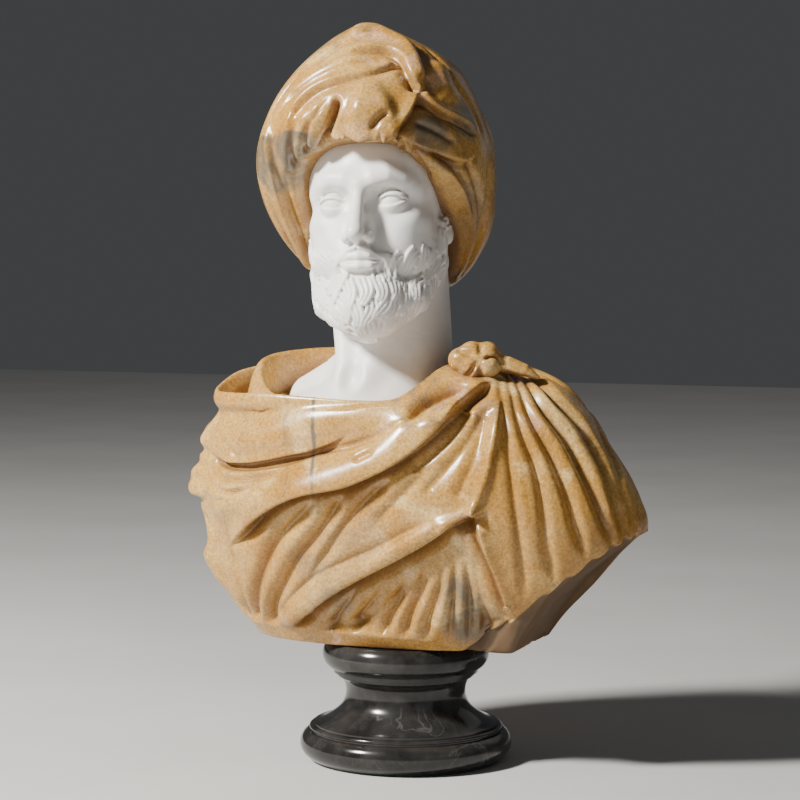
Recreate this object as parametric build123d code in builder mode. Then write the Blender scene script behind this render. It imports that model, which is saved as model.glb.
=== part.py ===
"""Polychrome marble bust on a turned socle, in millimetres.

The bust looks along -Y, +X is the sitter's left and +Z is up. The origin is the centre of the
socle's footprint, at the underside of the felt pad.
"""

from build123d import *

import os

# --- driving dimensions -------------------------------------------------------------------------
FELT = 3.0  # felt pad under the stone
TOTAL_HEIGHT = 800.0
JOINT_GAP = 0.5  # resin bed between two stones
RESIN_FILM = 0.05  # round a bonded pin or tube

BASE_RADIUS = 116.0  # widest point of the socle's foot moulding
WAIST_RADIUS = 65.5
CAP_RADIUS = 91.0
BASE_TOP = 38.0
WAIST_TOP = 96.0
CAP_TOP = 131.0

SLIP_THICKNESS = 2.0
TORSO_BOTTOM = CAP_TOP + SLIP_THICKNESS

ROD_RADIUS = 8.0
ROD_BOTTOM = 8.0
ROD_STANDS = 89.0  # height of the rod above the torso's underside plane
ROD_TOP = TORSO_BOTTOM + ROD_STANDS
ROD_HOLE = 9.0
NUT_FLATS = 24.0
NUT_HEIGHT = 13.0
WASHER_RADIUS = 17.0
WASHER_THICKNESS = 3.0
RECESS_RADIUS = 20.0
BASE_RECESS_ROOF = 25.0
CAP_RECESS_FLOOR = 111.0

SLEEVE_RUNNING_CLEARANCE = 0.08
SLEEVE_RADIUS = 11.0
SLEEVE_LENGTH = 94.0

HEAD = Vector(-24, -10, 612)  # between the ears, at eye level
# Head cross-sections: height above the eyes, centre's distance behind the ears, half width and depth.
HEAD_SECTIONS = [
    (-150, -62, 22, 20),
    (-130, -52, 44, 38),
    (-100, -38, 58, 56),
    (-60, -20, 64, 72),
    (-20, -4, 71, 86),
    (25, 2, 76, 92),
    (70, 10, 70, 84),
    (100, 12, 48, 60),
    (116, 12, 18, 24),
]
NECK_CENTRE = Vector(-15, -2, 0)
NECK_RADIUS = 60.0
PLUG_CENTRE = Vector(-38, -14, 0)  # the carved chest inside the collar, and the tenon below it
PLUG_RADII = (86.0, 74.0)
PLUG_BOTTOM = 350.0
PLUG_TOP = 402.0

# Turban cross-sections: height, centre in X and Y, half width, half depth.
TURBAN_SECTIONS = [
    (506, -22, 28, 60, 52),
    (530, -24, 22, 92, 82),
    (570, -28, 16, 116, 110),
    (620, -32, 8, 128, 132),
    (670, -34, 3, 128, 138),
    (715, -35, 2, 110, 122),
    (750, -35, 1, 86, 97),
    (778, -37, -2, 52, 60),
    (TOTAL_HEIGHT, -42, -5, 14, 18),
]
WINDOW_RADII = (69.0, 100.0)  # opening in front of the face

KNOT_CENTRE = Vector(100, -52, 440)
KNOT_RADII = (27.0, 20.0)

# Torso cross-sections: height, then reach to the right, left, front and back of the rod's axis.
TORSO_SECTIONS = [
    (TORSO_BOTTOM, 172, 160, 76, 92),
    (175, 205, 225, 104, 102),
    (230, 224, 265, 122, 108),
    (270, 234, 275, 129, 108),
    (310, 234, 262, 131, 106),
    (350, 224, 235, 127, 102),
    (390, 212, 206, 117, 96),
    (420, 196, 170, 105, 90),
    (440, 160, 116, 98, 86),
]
COLLAR_TOP = 445.0
COLLAR_GAP = 12.0  # between the carved chest and the collar above the tenon
NECKLINE_LOW = 403.0  # the collar dips in front, as a round notch
NECKLINE_RADIUS = 72.0
ARM_CUT_RADIUS = 250.0
ARM_CUT_AXIS = (372.0, 28.0)  # X and Z of the hollow cut under the left arm

NECK_PIN = {"radius": 6.0, "low": 322.0, "high": 380.0}
NECK_PINS_AT = [(PLUG_CENTRE.X - 38, PLUG_CENTRE.Y), (PLUG_CENTRE.X + 38, PLUG_CENTRE.Y)]
TURBAN_PIN = {"radius": 5.0, "low": 690.0, "high": 752.0}
TURBAN_PINS_AT = [(HEAD.X - 22, HEAD.Y + 10), (HEAD.X + 22, HEAD.Y + 10)]
KNOT_PIN = {"radius": 4.0, "low": 405.0, "high": 445.0}
KNOT_PINS_AT = [(KNOT_CENTRE.X, KNOT_CENTRE.Y)]

os.makedirs("parts", exist_ok=True)


def save(builder, name):
    """Labels a finished piece and writes it as its own STEP file."""
    builder.part.label = name
    export_step(builder.part, f"parts/{name}.step")


def bore(radius, low, high, centre=(0, 0)):
    """Cuts a vertical round hole through the part being built."""
    with BuildSketch(Plane.XY.offset(low)) as hole:
        with Locations(centre):
            Circle(radius)
    extrude(hole.sketch, amount=high - low, mode=Mode.SUBTRACT)


# --- socle: three turned drums of black marble ----------------------------------------------------
def socle_base():
    with BuildPart() as piece:
        with BuildSketch(Plane.XZ):
            with BuildLine():
                Polyline((0, BASE_TOP), (0, FELT), (BASE_RADIUS - 9, FELT), (BASE_RADIUS - 7, 5))
                ThreePointArc((BASE_RADIUS - 7, 5), (BASE_RADIUS, 18.5), (BASE_RADIUS - 8, 32))
                Polyline(
                    (BASE_RADIUS - 8, 32), (BASE_RADIUS - 11, 32), (BASE_RADIUS - 11, 34)
                )
                ThreePointArc(
                    (BASE_RADIUS - 11, 34), (BASE_RADIUS - 10.2, 36), (BASE_RADIUS - 12, BASE_TOP)
                )
                Line((BASE_RADIUS - 12, BASE_TOP), (0, BASE_TOP))
            make_face()
        revolve(axis=Axis.Z)
        bore(ROD_HOLE, 0, BASE_TOP)
        bore(RECESS_RADIUS, 0, BASE_RECESS_ROOF)
    save(piece, "socle_base")


def socle_waist():
    foot = BASE_RADIUS - 15
    with BuildPart() as piece:
        with BuildSketch(Plane.XZ):
            with BuildLine():
                Polyline((0, WAIST_TOP), (0, BASE_TOP), (foot, BASE_TOP), (foot, BASE_TOP + 2.5))
                Spline(
                    (foot, BASE_TOP + 2.5),
                    (85, 47),
                    (70, 60),
                    (WAIST_RADIUS, 74),
                    (68.5, 87),
                    (73.5, 91.5),
                    tangents=((-1, 0.12), (0.9, 0.45)),
                )
                Polyline((73.5, 91.5), (74.5, 92), (74.5, WAIST_TOP), (0, WAIST_TOP))
            make_face()
        revolve(axis=Axis.Z)
        bore(ROD_HOLE, BASE_TOP, WAIST_TOP)
    save(piece, "socle_waist")


def socle_cap():
    fillet_radius = 79.0
    with BuildPart() as piece:
        with BuildSketch(Plane.XZ):
            with BuildLine():
                Polyline(
                    (0, CAP_TOP), (0, WAIST_TOP), (fillet_radius, WAIST_TOP), (fillet_radius, 99.5)
                )
                ThreePointArc(
                    (fillet_radius, 99.5), (CAP_RADIUS, 114.5), (fillet_radius + 5, CAP_TOP)
                )
                Line((fillet_radius + 5, CAP_TOP), (0, CAP_TOP))
            make_face()
        revolve(axis=Axis.Z)
        bore(ROD_HOLE, WAIST_TOP, CAP_TOP)
        bore(RECESS_RADIUS, CAP_RECESS_FLOOR, CAP_TOP)
    save(piece, "socle_cap")


def felt_pad():
    with BuildPart() as piece:
        with BuildSketch():
            Circle(BASE_RADIUS - 12)
        extrude(amount=FELT)
    save(piece, "felt_pad")


# --- hardware: the rod clamped in the socle, the slip disc and the bust's sleeve ------------------
def mounting_rod():
    with BuildPart() as piece:
        with BuildSketch(Plane.XY.offset(ROD_BOTTOM)):
            Circle(ROD_RADIUS)
        extrude(amount=ROD_TOP - ROD_BOTTOM)
        chamfer(piece.edges().filter_by(GeomType.CIRCLE), length=1.5)
    save(piece, "mounting_rod")


def washer(name, low):
    with BuildPart() as piece:
        with BuildSketch(Plane.XY.offset(low)):
            Circle(WASHER_RADIUS)
            Circle(ROD_RADIUS + 0.5, mode=Mode.SUBTRACT)
        extrude(amount=WASHER_THICKNESS)
    save(piece, name)


def nut(name, low):
    with BuildPart() as piece:
        with BuildSketch(Plane.XY.offset(low)):
            RegularPolygon(NUT_FLATS / 2, 6, major_radius=False)
            Circle(ROD_RADIUS + RESIN_FILM, mode=Mode.SUBTRACT)
        extrude(amount=NUT_HEIGHT)
    save(piece, name)


def slip_disc():
    with BuildPart() as piece:
        with BuildSketch(Plane.XY.offset(CAP_TOP)):
            Circle(72)
            Circle(ROD_RADIUS + 0.3, mode=Mode.SUBTRACT)
        extrude(amount=SLIP_THICKNESS)
    save(piece, "slip_disc")


def rod_sleeve():
    with BuildPart() as piece:
        with BuildSketch(Plane.XY.offset(TORSO_BOTTOM)):
            Circle(SLEEVE_RADIUS)
            Circle(ROD_RADIUS + SLEEVE_RUNNING_CLEARANCE, mode=Mode.SUBTRACT)
        extrude(amount=SLEEVE_LENGTH)
    save(piece, "rod_sleeve")


# --- bonded pins ----------------------------------------------------------------------------------
def pins(name, pin, places):
    with BuildPart() as piece:
        with BuildSketch(Plane.XY.offset(pin["low"])):
            with Locations(*places):
                Circle(pin["radius"])
        extrude(amount=pin["high"] - pin["low"])
    save(piece, name)


def pin_holes(pin, places):
    """Cuts the holes that a group of pins is bonded into."""
    for place in places:
        bore(pin["radius"] + RESIN_FILM, pin["low"] - 1, pin["high"] + 1, place)


# --- the carved stones ----------------------------------------------------------------------------
def stack(sections, gap=0.0, mode=Mode.ADD, ruled=False):
    """Lofts ellipses: each section is its height, its centre in X and Y, and its two half axes."""
    last = len(sections) - 1
    outlines = []
    for level, (height, x, y, half_width, half_depth) in enumerate(sections):
        shift = -gap if level == 0 else gap if level == last else 0
        with BuildSketch(Plane.XY.offset(height + shift)) as outline:
            with Locations((x, y)):
                Ellipse(half_width + gap, half_depth + gap)
        outlines.append(outline.sketch)
    loft(outlines, ruled=ruled, mode=mode)


def head_form(gap, mode):
    """Head with its beard, neck, carved chest and tenon, all grown by gap."""
    skull = [
        (HEAD.Z + up, HEAD.X, HEAD.Y + back, half_width, half_depth)
        for up, back, half_width, half_depth in HEAD_SECTIONS
    ]
    stack(skull, gap, mode)
    neck = [
        (PLUG_TOP, PLUG_CENTRE.X, PLUG_CENTRE.Y, *PLUG_RADII),
        (438, NECK_CENTRE.X, NECK_CENTRE.Y, NECK_RADIUS + 4, NECK_RADIUS + 4),
        (570, NECK_CENTRE.X - 4, NECK_CENTRE.Y + 4, NECK_RADIUS - 5, NECK_RADIUS - 5),
    ]
    stack(neck, gap, mode, ruled=True)
    with BuildSketch(Plane.XY.offset(PLUG_BOTTOM - gap)) as tenon:
        with Locations((PLUG_CENTRE.X, PLUG_CENTRE.Y)):
            Ellipse(PLUG_RADII[0] + gap, PLUG_RADII[1] + gap)
    extrude(tenon.sketch, amount=PLUG_TOP - PLUG_BOTTOM + 2 * gap, mode=mode)


def nose():
    """A plain wedge of a nose, from the brow to the upper lip."""
    with BuildSketch(Plane.YZ.offset(HEAD.X)) as wedge:
        with Locations((HEAD.Y, HEAD.Z)):
            Polygon((-70, 16), (-88, 10), (-112, -34), (-104, -42), (-70, -42), align=None)
    extrude(wedge.sketch, amount=9, both=True)


def head():
    with BuildPart() as piece:
        head_form(0, Mode.ADD)
        nose()
        pin_holes(NECK_PIN, NECK_PINS_AT)
        pin_holes(TURBAN_PIN, TURBAN_PINS_AT)
    save(piece, "head")


def turban():
    with BuildPart() as piece:
        stack(TURBAN_SECTIONS)
        head_form(JOINT_GAP, Mode.SUBTRACT)
        with BuildSketch(Plane.XZ.offset(-HEAD.Y + 30)) as window:
            with Locations((HEAD.X, HEAD.Z - 44)):
                Ellipse(*WINDOW_RADII)
        extrude(window.sketch, amount=200, mode=Mode.SUBTRACT)
        pin_holes(TURBAN_PIN, TURBAN_PINS_AT)
    save(piece, "turban")


def torso_form():
    stack(
        [
            (z, (left - right) / 2, (back - front) / 2, (left + right) / 2, (front + back) / 2)
            for z, right, left, front, back in TORSO_SECTIONS
        ]
    )


def socket(low, high, gap):
    """Hollows the torso round the tenon of the head."""
    with BuildSketch(Plane.XY.offset(low)) as mouth:
        with Locations((PLUG_CENTRE.X, PLUG_CENTRE.Y)):
            Ellipse(PLUG_RADII[0] + gap, PLUG_RADII[1] + gap)
    extrude(mouth.sketch, amount=high - low, mode=Mode.SUBTRACT)


def knot_form(gap, mode):
    half_height = KNOT_RADII[1] - 1
    stack(
        [
            (
                KNOT_CENTRE.Z + half_height * share,
                KNOT_CENTRE.X,
                KNOT_CENTRE.Y,
                KNOT_RADII[0] * (1.05 - share**2) ** 0.5,
                KNOT_RADII[1] * (1.05 - share**2) ** 0.5,
            )
            for share in (-1, -0.8, -0.4, 0, 0.4, 0.8, 1)
        ],
        gap,
        mode,
    )


def torso():
    with BuildPart() as piece:
        torso_form()
        with BuildSketch(Plane.XZ):
            with Locations(ARM_CUT_AXIS):
                Circle(ARM_CUT_RADIUS)
        extrude(amount=250, both=True, mode=Mode.SUBTRACT)
        socket(PLUG_BOTTOM - JOINT_GAP, PLUG_TOP, JOINT_GAP)
        socket(PLUG_TOP, COLLAR_TOP, COLLAR_GAP)
        with BuildSketch(Plane.XZ.offset(-PLUG_CENTRE.Y + 30)) as neckline:
            with Locations((PLUG_CENTRE.X, NECKLINE_LOW + NECKLINE_RADIUS)):
                Circle(NECKLINE_RADIUS)
        extrude(neckline.sketch, amount=150, mode=Mode.SUBTRACT)
        knot_form(JOINT_GAP, Mode.SUBTRACT)
        bore(SLEEVE_RADIUS + RESIN_FILM, TORSO_BOTTOM - 1, TORSO_BOTTOM + SLEEVE_LENGTH + 4)
        pin_holes(NECK_PIN, NECK_PINS_AT)
        pin_holes(KNOT_PIN, KNOT_PINS_AT)
    save(piece, "torso")


def shoulder_knot():
    with BuildPart() as piece:
        knot_form(0, Mode.ADD)
        pin_holes(KNOT_PIN, KNOT_PINS_AT)
    save(piece, "shoulder_knot")


socle_base()
socle_waist()
socle_cap()
felt_pad()
mounting_rod()
washer("lower_washer", BASE_RECESS_ROOF - WASHER_THICKNESS)
nut("lower_nut", BASE_RECESS_ROOF - WASHER_THICKNESS - NUT_HEIGHT)
washer("upper_washer", CAP_RECESS_FLOOR)
nut("upper_nut", CAP_RECESS_FLOOR + WASHER_THICKNESS)
slip_disc()
rod_sleeve()
pins("neck_pins", NECK_PIN, NECK_PINS_AT)
pins("turban_pins", TURBAN_PIN, TURBAN_PINS_AT)
pins("knot_pin", KNOT_PIN, KNOT_PINS_AT)
head()
turban()
torso()
shoulder_knot()
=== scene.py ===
"""Looks of the marble bust: carved drapery, turban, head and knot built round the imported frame.

Lengths are millimetres in the shape code and metres in Blender. The bust looks along -Y, +X is the
sitter's left and +Z is up.
"""

import math

import bpy
import numpy as np
from mathutils import Matrix, Vector


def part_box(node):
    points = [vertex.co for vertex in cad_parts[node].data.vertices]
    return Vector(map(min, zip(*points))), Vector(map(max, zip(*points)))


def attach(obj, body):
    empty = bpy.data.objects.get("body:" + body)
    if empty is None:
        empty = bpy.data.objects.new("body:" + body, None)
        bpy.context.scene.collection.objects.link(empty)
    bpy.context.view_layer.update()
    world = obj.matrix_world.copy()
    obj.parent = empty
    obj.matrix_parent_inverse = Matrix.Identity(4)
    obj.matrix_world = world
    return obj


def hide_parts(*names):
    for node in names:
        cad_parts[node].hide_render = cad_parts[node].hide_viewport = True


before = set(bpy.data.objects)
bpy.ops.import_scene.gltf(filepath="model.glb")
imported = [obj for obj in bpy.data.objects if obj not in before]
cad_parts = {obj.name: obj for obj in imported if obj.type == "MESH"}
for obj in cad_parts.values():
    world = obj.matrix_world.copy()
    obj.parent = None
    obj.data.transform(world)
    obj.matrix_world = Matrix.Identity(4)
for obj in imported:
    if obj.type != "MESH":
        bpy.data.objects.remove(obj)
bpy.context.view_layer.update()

MM = 0.001
RANDOM = np.random.default_rng(7)


def box_mm(node):
    """Lowest and highest corner of a CAD node."""
    low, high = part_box(node)
    return np.array(low) / MM, np.array(high) / MM


# --- curves -----------------------------------------------------------------------------------------
def through(xs, ys, x):
    """Reads at x a smooth curve through the points (xs, ys)."""
    xs, ys, x = np.asarray(xs, float), np.asarray(ys, float), np.asarray(x, float)
    slopes = np.gradient(ys, xs, axis=0)
    i = np.clip(np.searchsorted(xs, x) - 1, 0, len(xs) - 2)
    step = xs[i + 1] - xs[i]
    t = np.clip((x - xs[i]) / step, 0, 1)
    t, step = (v.reshape(v.shape + (1,) * (ys.ndim - 1)) for v in (t, step))
    return (
        (2 * t**3 - 3 * t**2 + 1) * ys[i]
        + (t**3 - 2 * t**2 + t) * step * slopes[i]
        + (3 * t**2 - 2 * t**3) * ys[i + 1]
        + (t**3 - t**2) * step * slopes[i + 1]
    )


def around(table, angle):
    """The same for a closed loop: table holds (angle in degrees, values...) rows from -180 up."""
    table = np.asarray(table, float)
    turn = np.eye(table.shape[1])[0] * 360
    looped = np.vstack([table - turn, table, table + turn])
    return through(looped[:, 0], looped[:, 1:], angle)


def spread(points, count):
    """Evenly spaced points along polylines: points is (n, columns, 3)."""
    steps = np.linalg.norm(np.diff(points, axis=0), axis=2)
    run = np.vstack([np.zeros(points.shape[1]), np.cumsum(steps, axis=0)])
    made = np.empty((count, points.shape[1], 3))
    for column in range(points.shape[1]):
        at = np.linspace(0, run[-1, column], count)
        for k in range(3):
            made[:, column, k] = np.interp(at, run[:, column], points[:, column, k])
    return made


def smoothstep(low, high, x):
    """0 up to low and 1 from high on, with a soft rise between; high may be the lesser one."""
    t = np.clip((x - low) / (high - low), 0, 1)
    return t * t * (3 - 2 * t)


# --- carving a closed grid --------------------------------------------------------------------------
def normals(grid):
    """Outward unit normals of a grid whose columns run round anticlockwise seen from above."""
    across = np.roll(grid, -1, axis=1) - np.roll(grid, 1, axis=1)
    up = np.gradient(grid, axis=0)
    n = np.cross(across, up)
    return n / np.maximum(np.linalg.norm(n, axis=2, keepdims=True), 1e-9)


def soften(grid, rounds, rows=slice(None)):
    """Moves each point of those rows half way to its neighbours' mean, but not the grid's end rows."""
    for _ in range(rounds):
        near = np.roll(grid, 1, axis=1) + np.roll(grid, -1, axis=1)
        near[1:-1] += grid[2:] + grid[:-2]
        mean = near / 4
        mean[[0, -1]] = grid[[0, -1]]
        grid[rows] = (grid + 0.5 * (mean - grid))[rows]


def facing(azimuth):
    """Unit vectors across and towards the eye for a level view from that azimuth."""
    a = math.radians(azimuth)
    return np.array([math.cos(a), math.sin(a), 0]), np.array([math.sin(a), -math.cos(a), 0])


class Stone:
    """A grid of points being carved."""

    BEHIND, IN_FRONT = -0.45, -0.15  # how squarely a point faces a stroke's side: uncut, and cut in full
    MARGIN = 3.2  # how far round a line points are looked at, in stroke widths

    def __init__(self, grid):
        self.grid = grid
        self.reach = np.ones(grid.shape[:2])  # how far carving acts on each point, 0 to 1
        self.renew()

    def renew(self):
        """Takes the form as it now stands as the surface that later cuts are measured on."""
        self.base = self.grid.copy()
        self.normal = normals(self.base)
        self.seen = {}

    def lay(self, path, azimuth):
        """A 3-D line through places given as (across, up[, strength]) in a level view."""
        right, towards = facing(azimuth)
        path = np.array([(*p, 1.0)[:3] for p in path], float)
        if azimuth not in self.seen:
            points = self.base[(self.normal @ towards > 0.03) & (self.reach > 0.2)]
            self.seen[azimuth] = points @ right, points[:, 2], points @ towards
        across, up, depth = self.seen[azimuth]
        spots = []
        for u, z, _ in path:
            gap = (across - u) ** 2 + (up - z) ** 2
            nearest = np.argpartition(gap, 4)[:4]
            spots.append(u * right + np.mean(depth[nearest]) * towards + np.array([0, 0, z]))
        spots = np.array(spots)
        lengths = np.linalg.norm(np.diff(spots, axis=0), axis=1)
        at = np.concatenate([[0], np.cumsum(lengths)])
        count = max(8, int(at[-1] / 4))
        along = np.linspace(0, at[-1], count)
        if len(at) == 2:
            line = np.array([np.interp(along, at, spots[:, k]) for k in range(3)]).T
            strength = np.interp(along, at, path[:, 2])
        else:
            line = through(at, spots, along)
            strength = through(at, path[:, 2], along)
        return line, np.clip(strength, 0, None)

    def cut(self, line, strength, width, profile, taper, towards):
        """Moves the points near a line along their normals by profile(signed distance / width).

        Only those that face the side the line was laid from are moved.
        """
        low, high = line.min(0) - self.MARGIN * width, line.max(0) + self.MARGIN * width
        inside = np.all((self.base > low) & (self.base < high), axis=2)
        inside &= (self.reach > 0) & (self.normal @ towards > self.BEHIND)
        rows, cols = np.nonzero(inside)
        if not len(rows):
            return
        p, n = self.base[rows, cols], self.normal[rows, cols]
        start, run = line[:-1], np.diff(line, axis=0)
        length = np.linalg.norm(run, axis=1)
        run = run / length[:, None]
        total = length.sum()
        begin = np.concatenate([[0], np.cumsum(length)[:-1]])
        best = np.full(len(p), 1e9)
        side, along = np.zeros(len(p)), np.zeros(len(p))
        for k in range(len(run)):
            gap = p - start[k]
            t = np.clip(gap @ run[k], 0, length[k])
            off = gap - t[:, None] * run[k]
            off -= (np.einsum("ij,ij->i", off, n))[:, None] * n
            far = np.linalg.norm(off, axis=1)
            nearer = far < best
            best[nearer] = far[nearer]
            sign = np.einsum("ij,ij->i", np.cross(n, run[k]), off)
            side[nearer] = np.where(sign < 0, -1, 1)[nearer] * far[nearer]
            along[nearer] = (begin[k] + t)[nearer]
        power = np.interp(along, np.linspace(0, total, len(strength)), strength)
        fade = np.ones(len(p))
        for reach, share in zip(taper, (along / total, 1 - along / total)):
            if reach:
                fade *= smoothstep(0, reach, share)
        wide = width * (0.45 + 0.55 * np.clip(power * fade, 0, 1.6))
        fade *= smoothstep(self.BEHIND, self.IN_FRONT, n @ towards)
        height = profile(side / wide) * power * fade * self.reach[rows, cols]
        self.grid[rows, cols] += height[:, None] * n


def groove(depth, sharp=2.2):
    """A V-shaped valley with rounded shoulders."""
    return lambda x: -depth * np.clip(1 - np.abs(x), 0, 1) ** sharp


def roll(height):
    """A rounded ridge."""
    return lambda x: height * np.exp(-((1.5 * x) ** 2))


def lip(height, drop, back=1.0, edge=0.09):
    """A fold's edge: rises slowly on the left of the line, then falls steeply on its right."""

    def profile(x):
        above = height * np.exp(-((1.3 * x / back) ** 2))
        below = -drop * np.clip(1 - np.abs(x), 0, 1) ** 1.6
        side = smoothstep(-edge, edge, x)
        return side * above + (1 - side) * below

    return profile


def carve(stone, azimuth, strokes):
    """Cuts strokes laid in a level view: each is (profile, width, fade at its two ends, path)."""
    for profile, width, taper, path in strokes:
        line, strength = stone.lay(path, azimuth)
        stone.cut(line, strength, width, profile, taper, facing(azimuth)[1])


def grid_faces(grid):
    """Quads of a grid closed round its columns, and triangles to two poles that follow its points."""
    rows, cols = grid.shape[:2]
    a = np.arange(rows - 1)[:, None] * cols + np.arange(cols)[None, :]
    b = np.arange(rows - 1)[:, None] * cols + (np.arange(cols)[None, :] + 1) % cols
    faces = np.stack([a, b, b + cols, a + cols], axis=2).reshape(-1, 4).tolist()
    for tip, row, order in ((rows * cols, 0, -1), (rows * cols + 1, rows - 1, 1)):
        for j in range(cols):
            pair = (row * cols + j, row * cols + (j + 1) % cols)
            faces.append((*pair[::order], tip))
    return faces


def carved(name, verts, faces, node, material):
    """The mesh, in millimetres, of a stone that takes the place of a CAD node of the bust."""
    mesh = bpy.data.meshes.new(name)
    mesh.from_pydata((verts * MM).tolist(), [], faces)
    mesh.validate()
    mesh.shade_smooth()
    mesh.materials.append(material)
    obj = bpy.data.objects.new(name, mesh)
    bpy.context.scene.collection.objects.link(obj)
    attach(obj, "bust")
    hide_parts(node)
    return obj


# --- materials --------------------------------------------------------------------------------------
class Recipe:
    """A node material: each method adds nodes and gives back their output."""

    def __init__(self, name):
        self.material = bpy.data.materials.new(name)
        self.material.use_nodes = True
        self.tree = self.material.node_tree
        self.shader = self.tree.nodes["Principled BSDF"]
        self.point = self.tree.nodes.new("ShaderNodeTexCoord").outputs["Object"]

    def node(self, kind, outlet, inputs, **settings):
        made = self.tree.nodes.new(kind)
        for key, value in settings.items():
            setattr(made, key, value)
        self.feed(made, inputs)
        return made.outputs[outlet]

    def feed(self, node, inputs):
        """Links or sets each of a node's inputs."""
        for socket, value in inputs.items():
            if isinstance(value, bpy.types.NodeSocket):
                self.tree.links.new(value, node.inputs[socket])
            else:
                node.inputs[socket].default_value = value

    def mapped(self, point, place=(0, 0, 0), stretch=(1, 1, 1)):
        return self.node("ShaderNodeMapping", 0, {"Vector": point, "Location": place, "Scale": stretch})

    def noise(self, scale, detail=4.0, roughness=0.5, warp=0.0, point=None):
        inputs = {"Vector": point or self.point, "Scale": scale, "Detail": detail,
                  "Roughness": roughness, "Distortion": warp}
        return self.node("ShaderNodeTexNoise", 0, inputs)

    def warped(self, scale, amount):
        """The point, pushed about by a noise."""
        push = self.node("ShaderNodeTexNoise", 1, {"Vector": self.point, "Scale": scale, "Detail": 3.0})
        push = self.vector("SUBTRACT", push, (0.5, 0.5, 0.5))
        push = self.vector("MULTIPLY", push, (amount,) * 3)
        return self.vector("ADD", self.point, push)

    def vector(self, operation, a, b):
        return self.node("ShaderNodeVectorMath", 0, {0: a, 1: b}, operation=operation)

    def maths(self, operation, a, b=0.5):
        return self.node("ShaderNodeMath", 0, {0: a, 1: b}, operation=operation)

    def window(self, value, low, high, to_low=0.0, to_high=1.0):
        """Smoothly from to_low where the value is low to to_high where it is high."""
        inputs = {0: value, 1: low, 2: high, 3: to_low, 4: to_high}
        return self.node("ShaderNodeMapRange", 0, inputs, interpolation_type="SMOOTHSTEP")

    def vein(self, scale, width, warp, detail, point):
        """One along the middle values of a noise, 0 elsewhere."""
        value = self.noise(scale, detail, 0.55, warp, point)
        away = self.maths("ABSOLUTE", self.maths("SUBTRACT", value, 0.5))
        return self.window(away, 0.0, width, 1.0, 0.0)

    def blend(self, share, under, over, how="MIX"):
        def colour(value):
            return (*value, 1) if isinstance(value, tuple) else value

        inputs = {0: share, 6: colour(under), 7: colour(over)}
        return self.node("ShaderNodeMix", 2, inputs, data_type="RGBA", blend_type=how)

    def tint(self, colour, mask, share, over):
        """Lays a colour over another to that share where the mask is 1."""
        return self.blend(self.maths("MULTIPLY", mask, share), colour, over)

    def near(self, place, radius, soft, point=None):
        """One inside a ball round a place in metres, fading to 0."""
        gap = self.node("ShaderNodeVectorMath", 1, {0: point or self.point, 1: place}, operation="DISTANCE")
        return self.window(gap, radius, radius + soft, 1.0, 0.0)

    def painted_shade(self, colour, distance, low, share, over):
        """Paints shade: lays a colour over another in the hollows, where ambient occlusion finds them
        closed in.
        """
        open_air = self.node("ShaderNodeAmbientOcclusion", "AO", {"Distance": distance}, samples=8)
        open_air = self.window(open_air, low, 0.95)
        return self.blend(self.window(open_air, 0, 1, share, 0.0), colour, over)

    def bump(self, height, strength, distance, under=None):
        inputs = {"Height": height, "Strength": strength, "Distance": distance}
        if under:
            inputs["Normal"] = under
        return self.node("ShaderNodeBump", 0, inputs)

    def finish(self, colour, roughness, normal=None, **constants):
        inputs = {"Base Color": colour, "Roughness": roughness}
        if normal:
            inputs["Normal"] = normal
        inputs |= {socket.replace("_", " "): value for socket, value in constants.items()}
        self.feed(self.shader, inputs)
        return self.material


# Middle, radius, fading and top of the grey patches in the ochre marble, in metres: on the
# turban's front and left, and low on the chest.
SMOKE = [
    ((-0.120, -0.085, 0.655), 0.036, 0.010, 0.679),
    ((-0.080, -0.120, 0.665), 0.020, 0.012, 0.683),
    ((0.058, -0.080, 0.678), 0.014, 0.016, 0.730),
    ((0.088, -0.030, 0.699), 0.016, 0.012, 0.730),
    ((0.105, -0.088, 0.160), 0.018, 0.022, 0.300),
    ((0.096, -0.090, 0.200), 0.011, 0.020, 0.300),
]

# Dark veins down the front of the drapery: place across, width and strength. They run in planes
# square to VEIN_ACROSS, and only near VEIN_MIDDLE.
VEINS = ((-0.098, 0.0015, 0.85), (-0.1265, 0.0020, 0.25), (-0.172, 0.003, 0.32))
VEIN_ACROSS = (0.9397, 0.3420, 0.0)
VEIN_MIDDLE = (-0.075, -0.13, 0.365)


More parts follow.
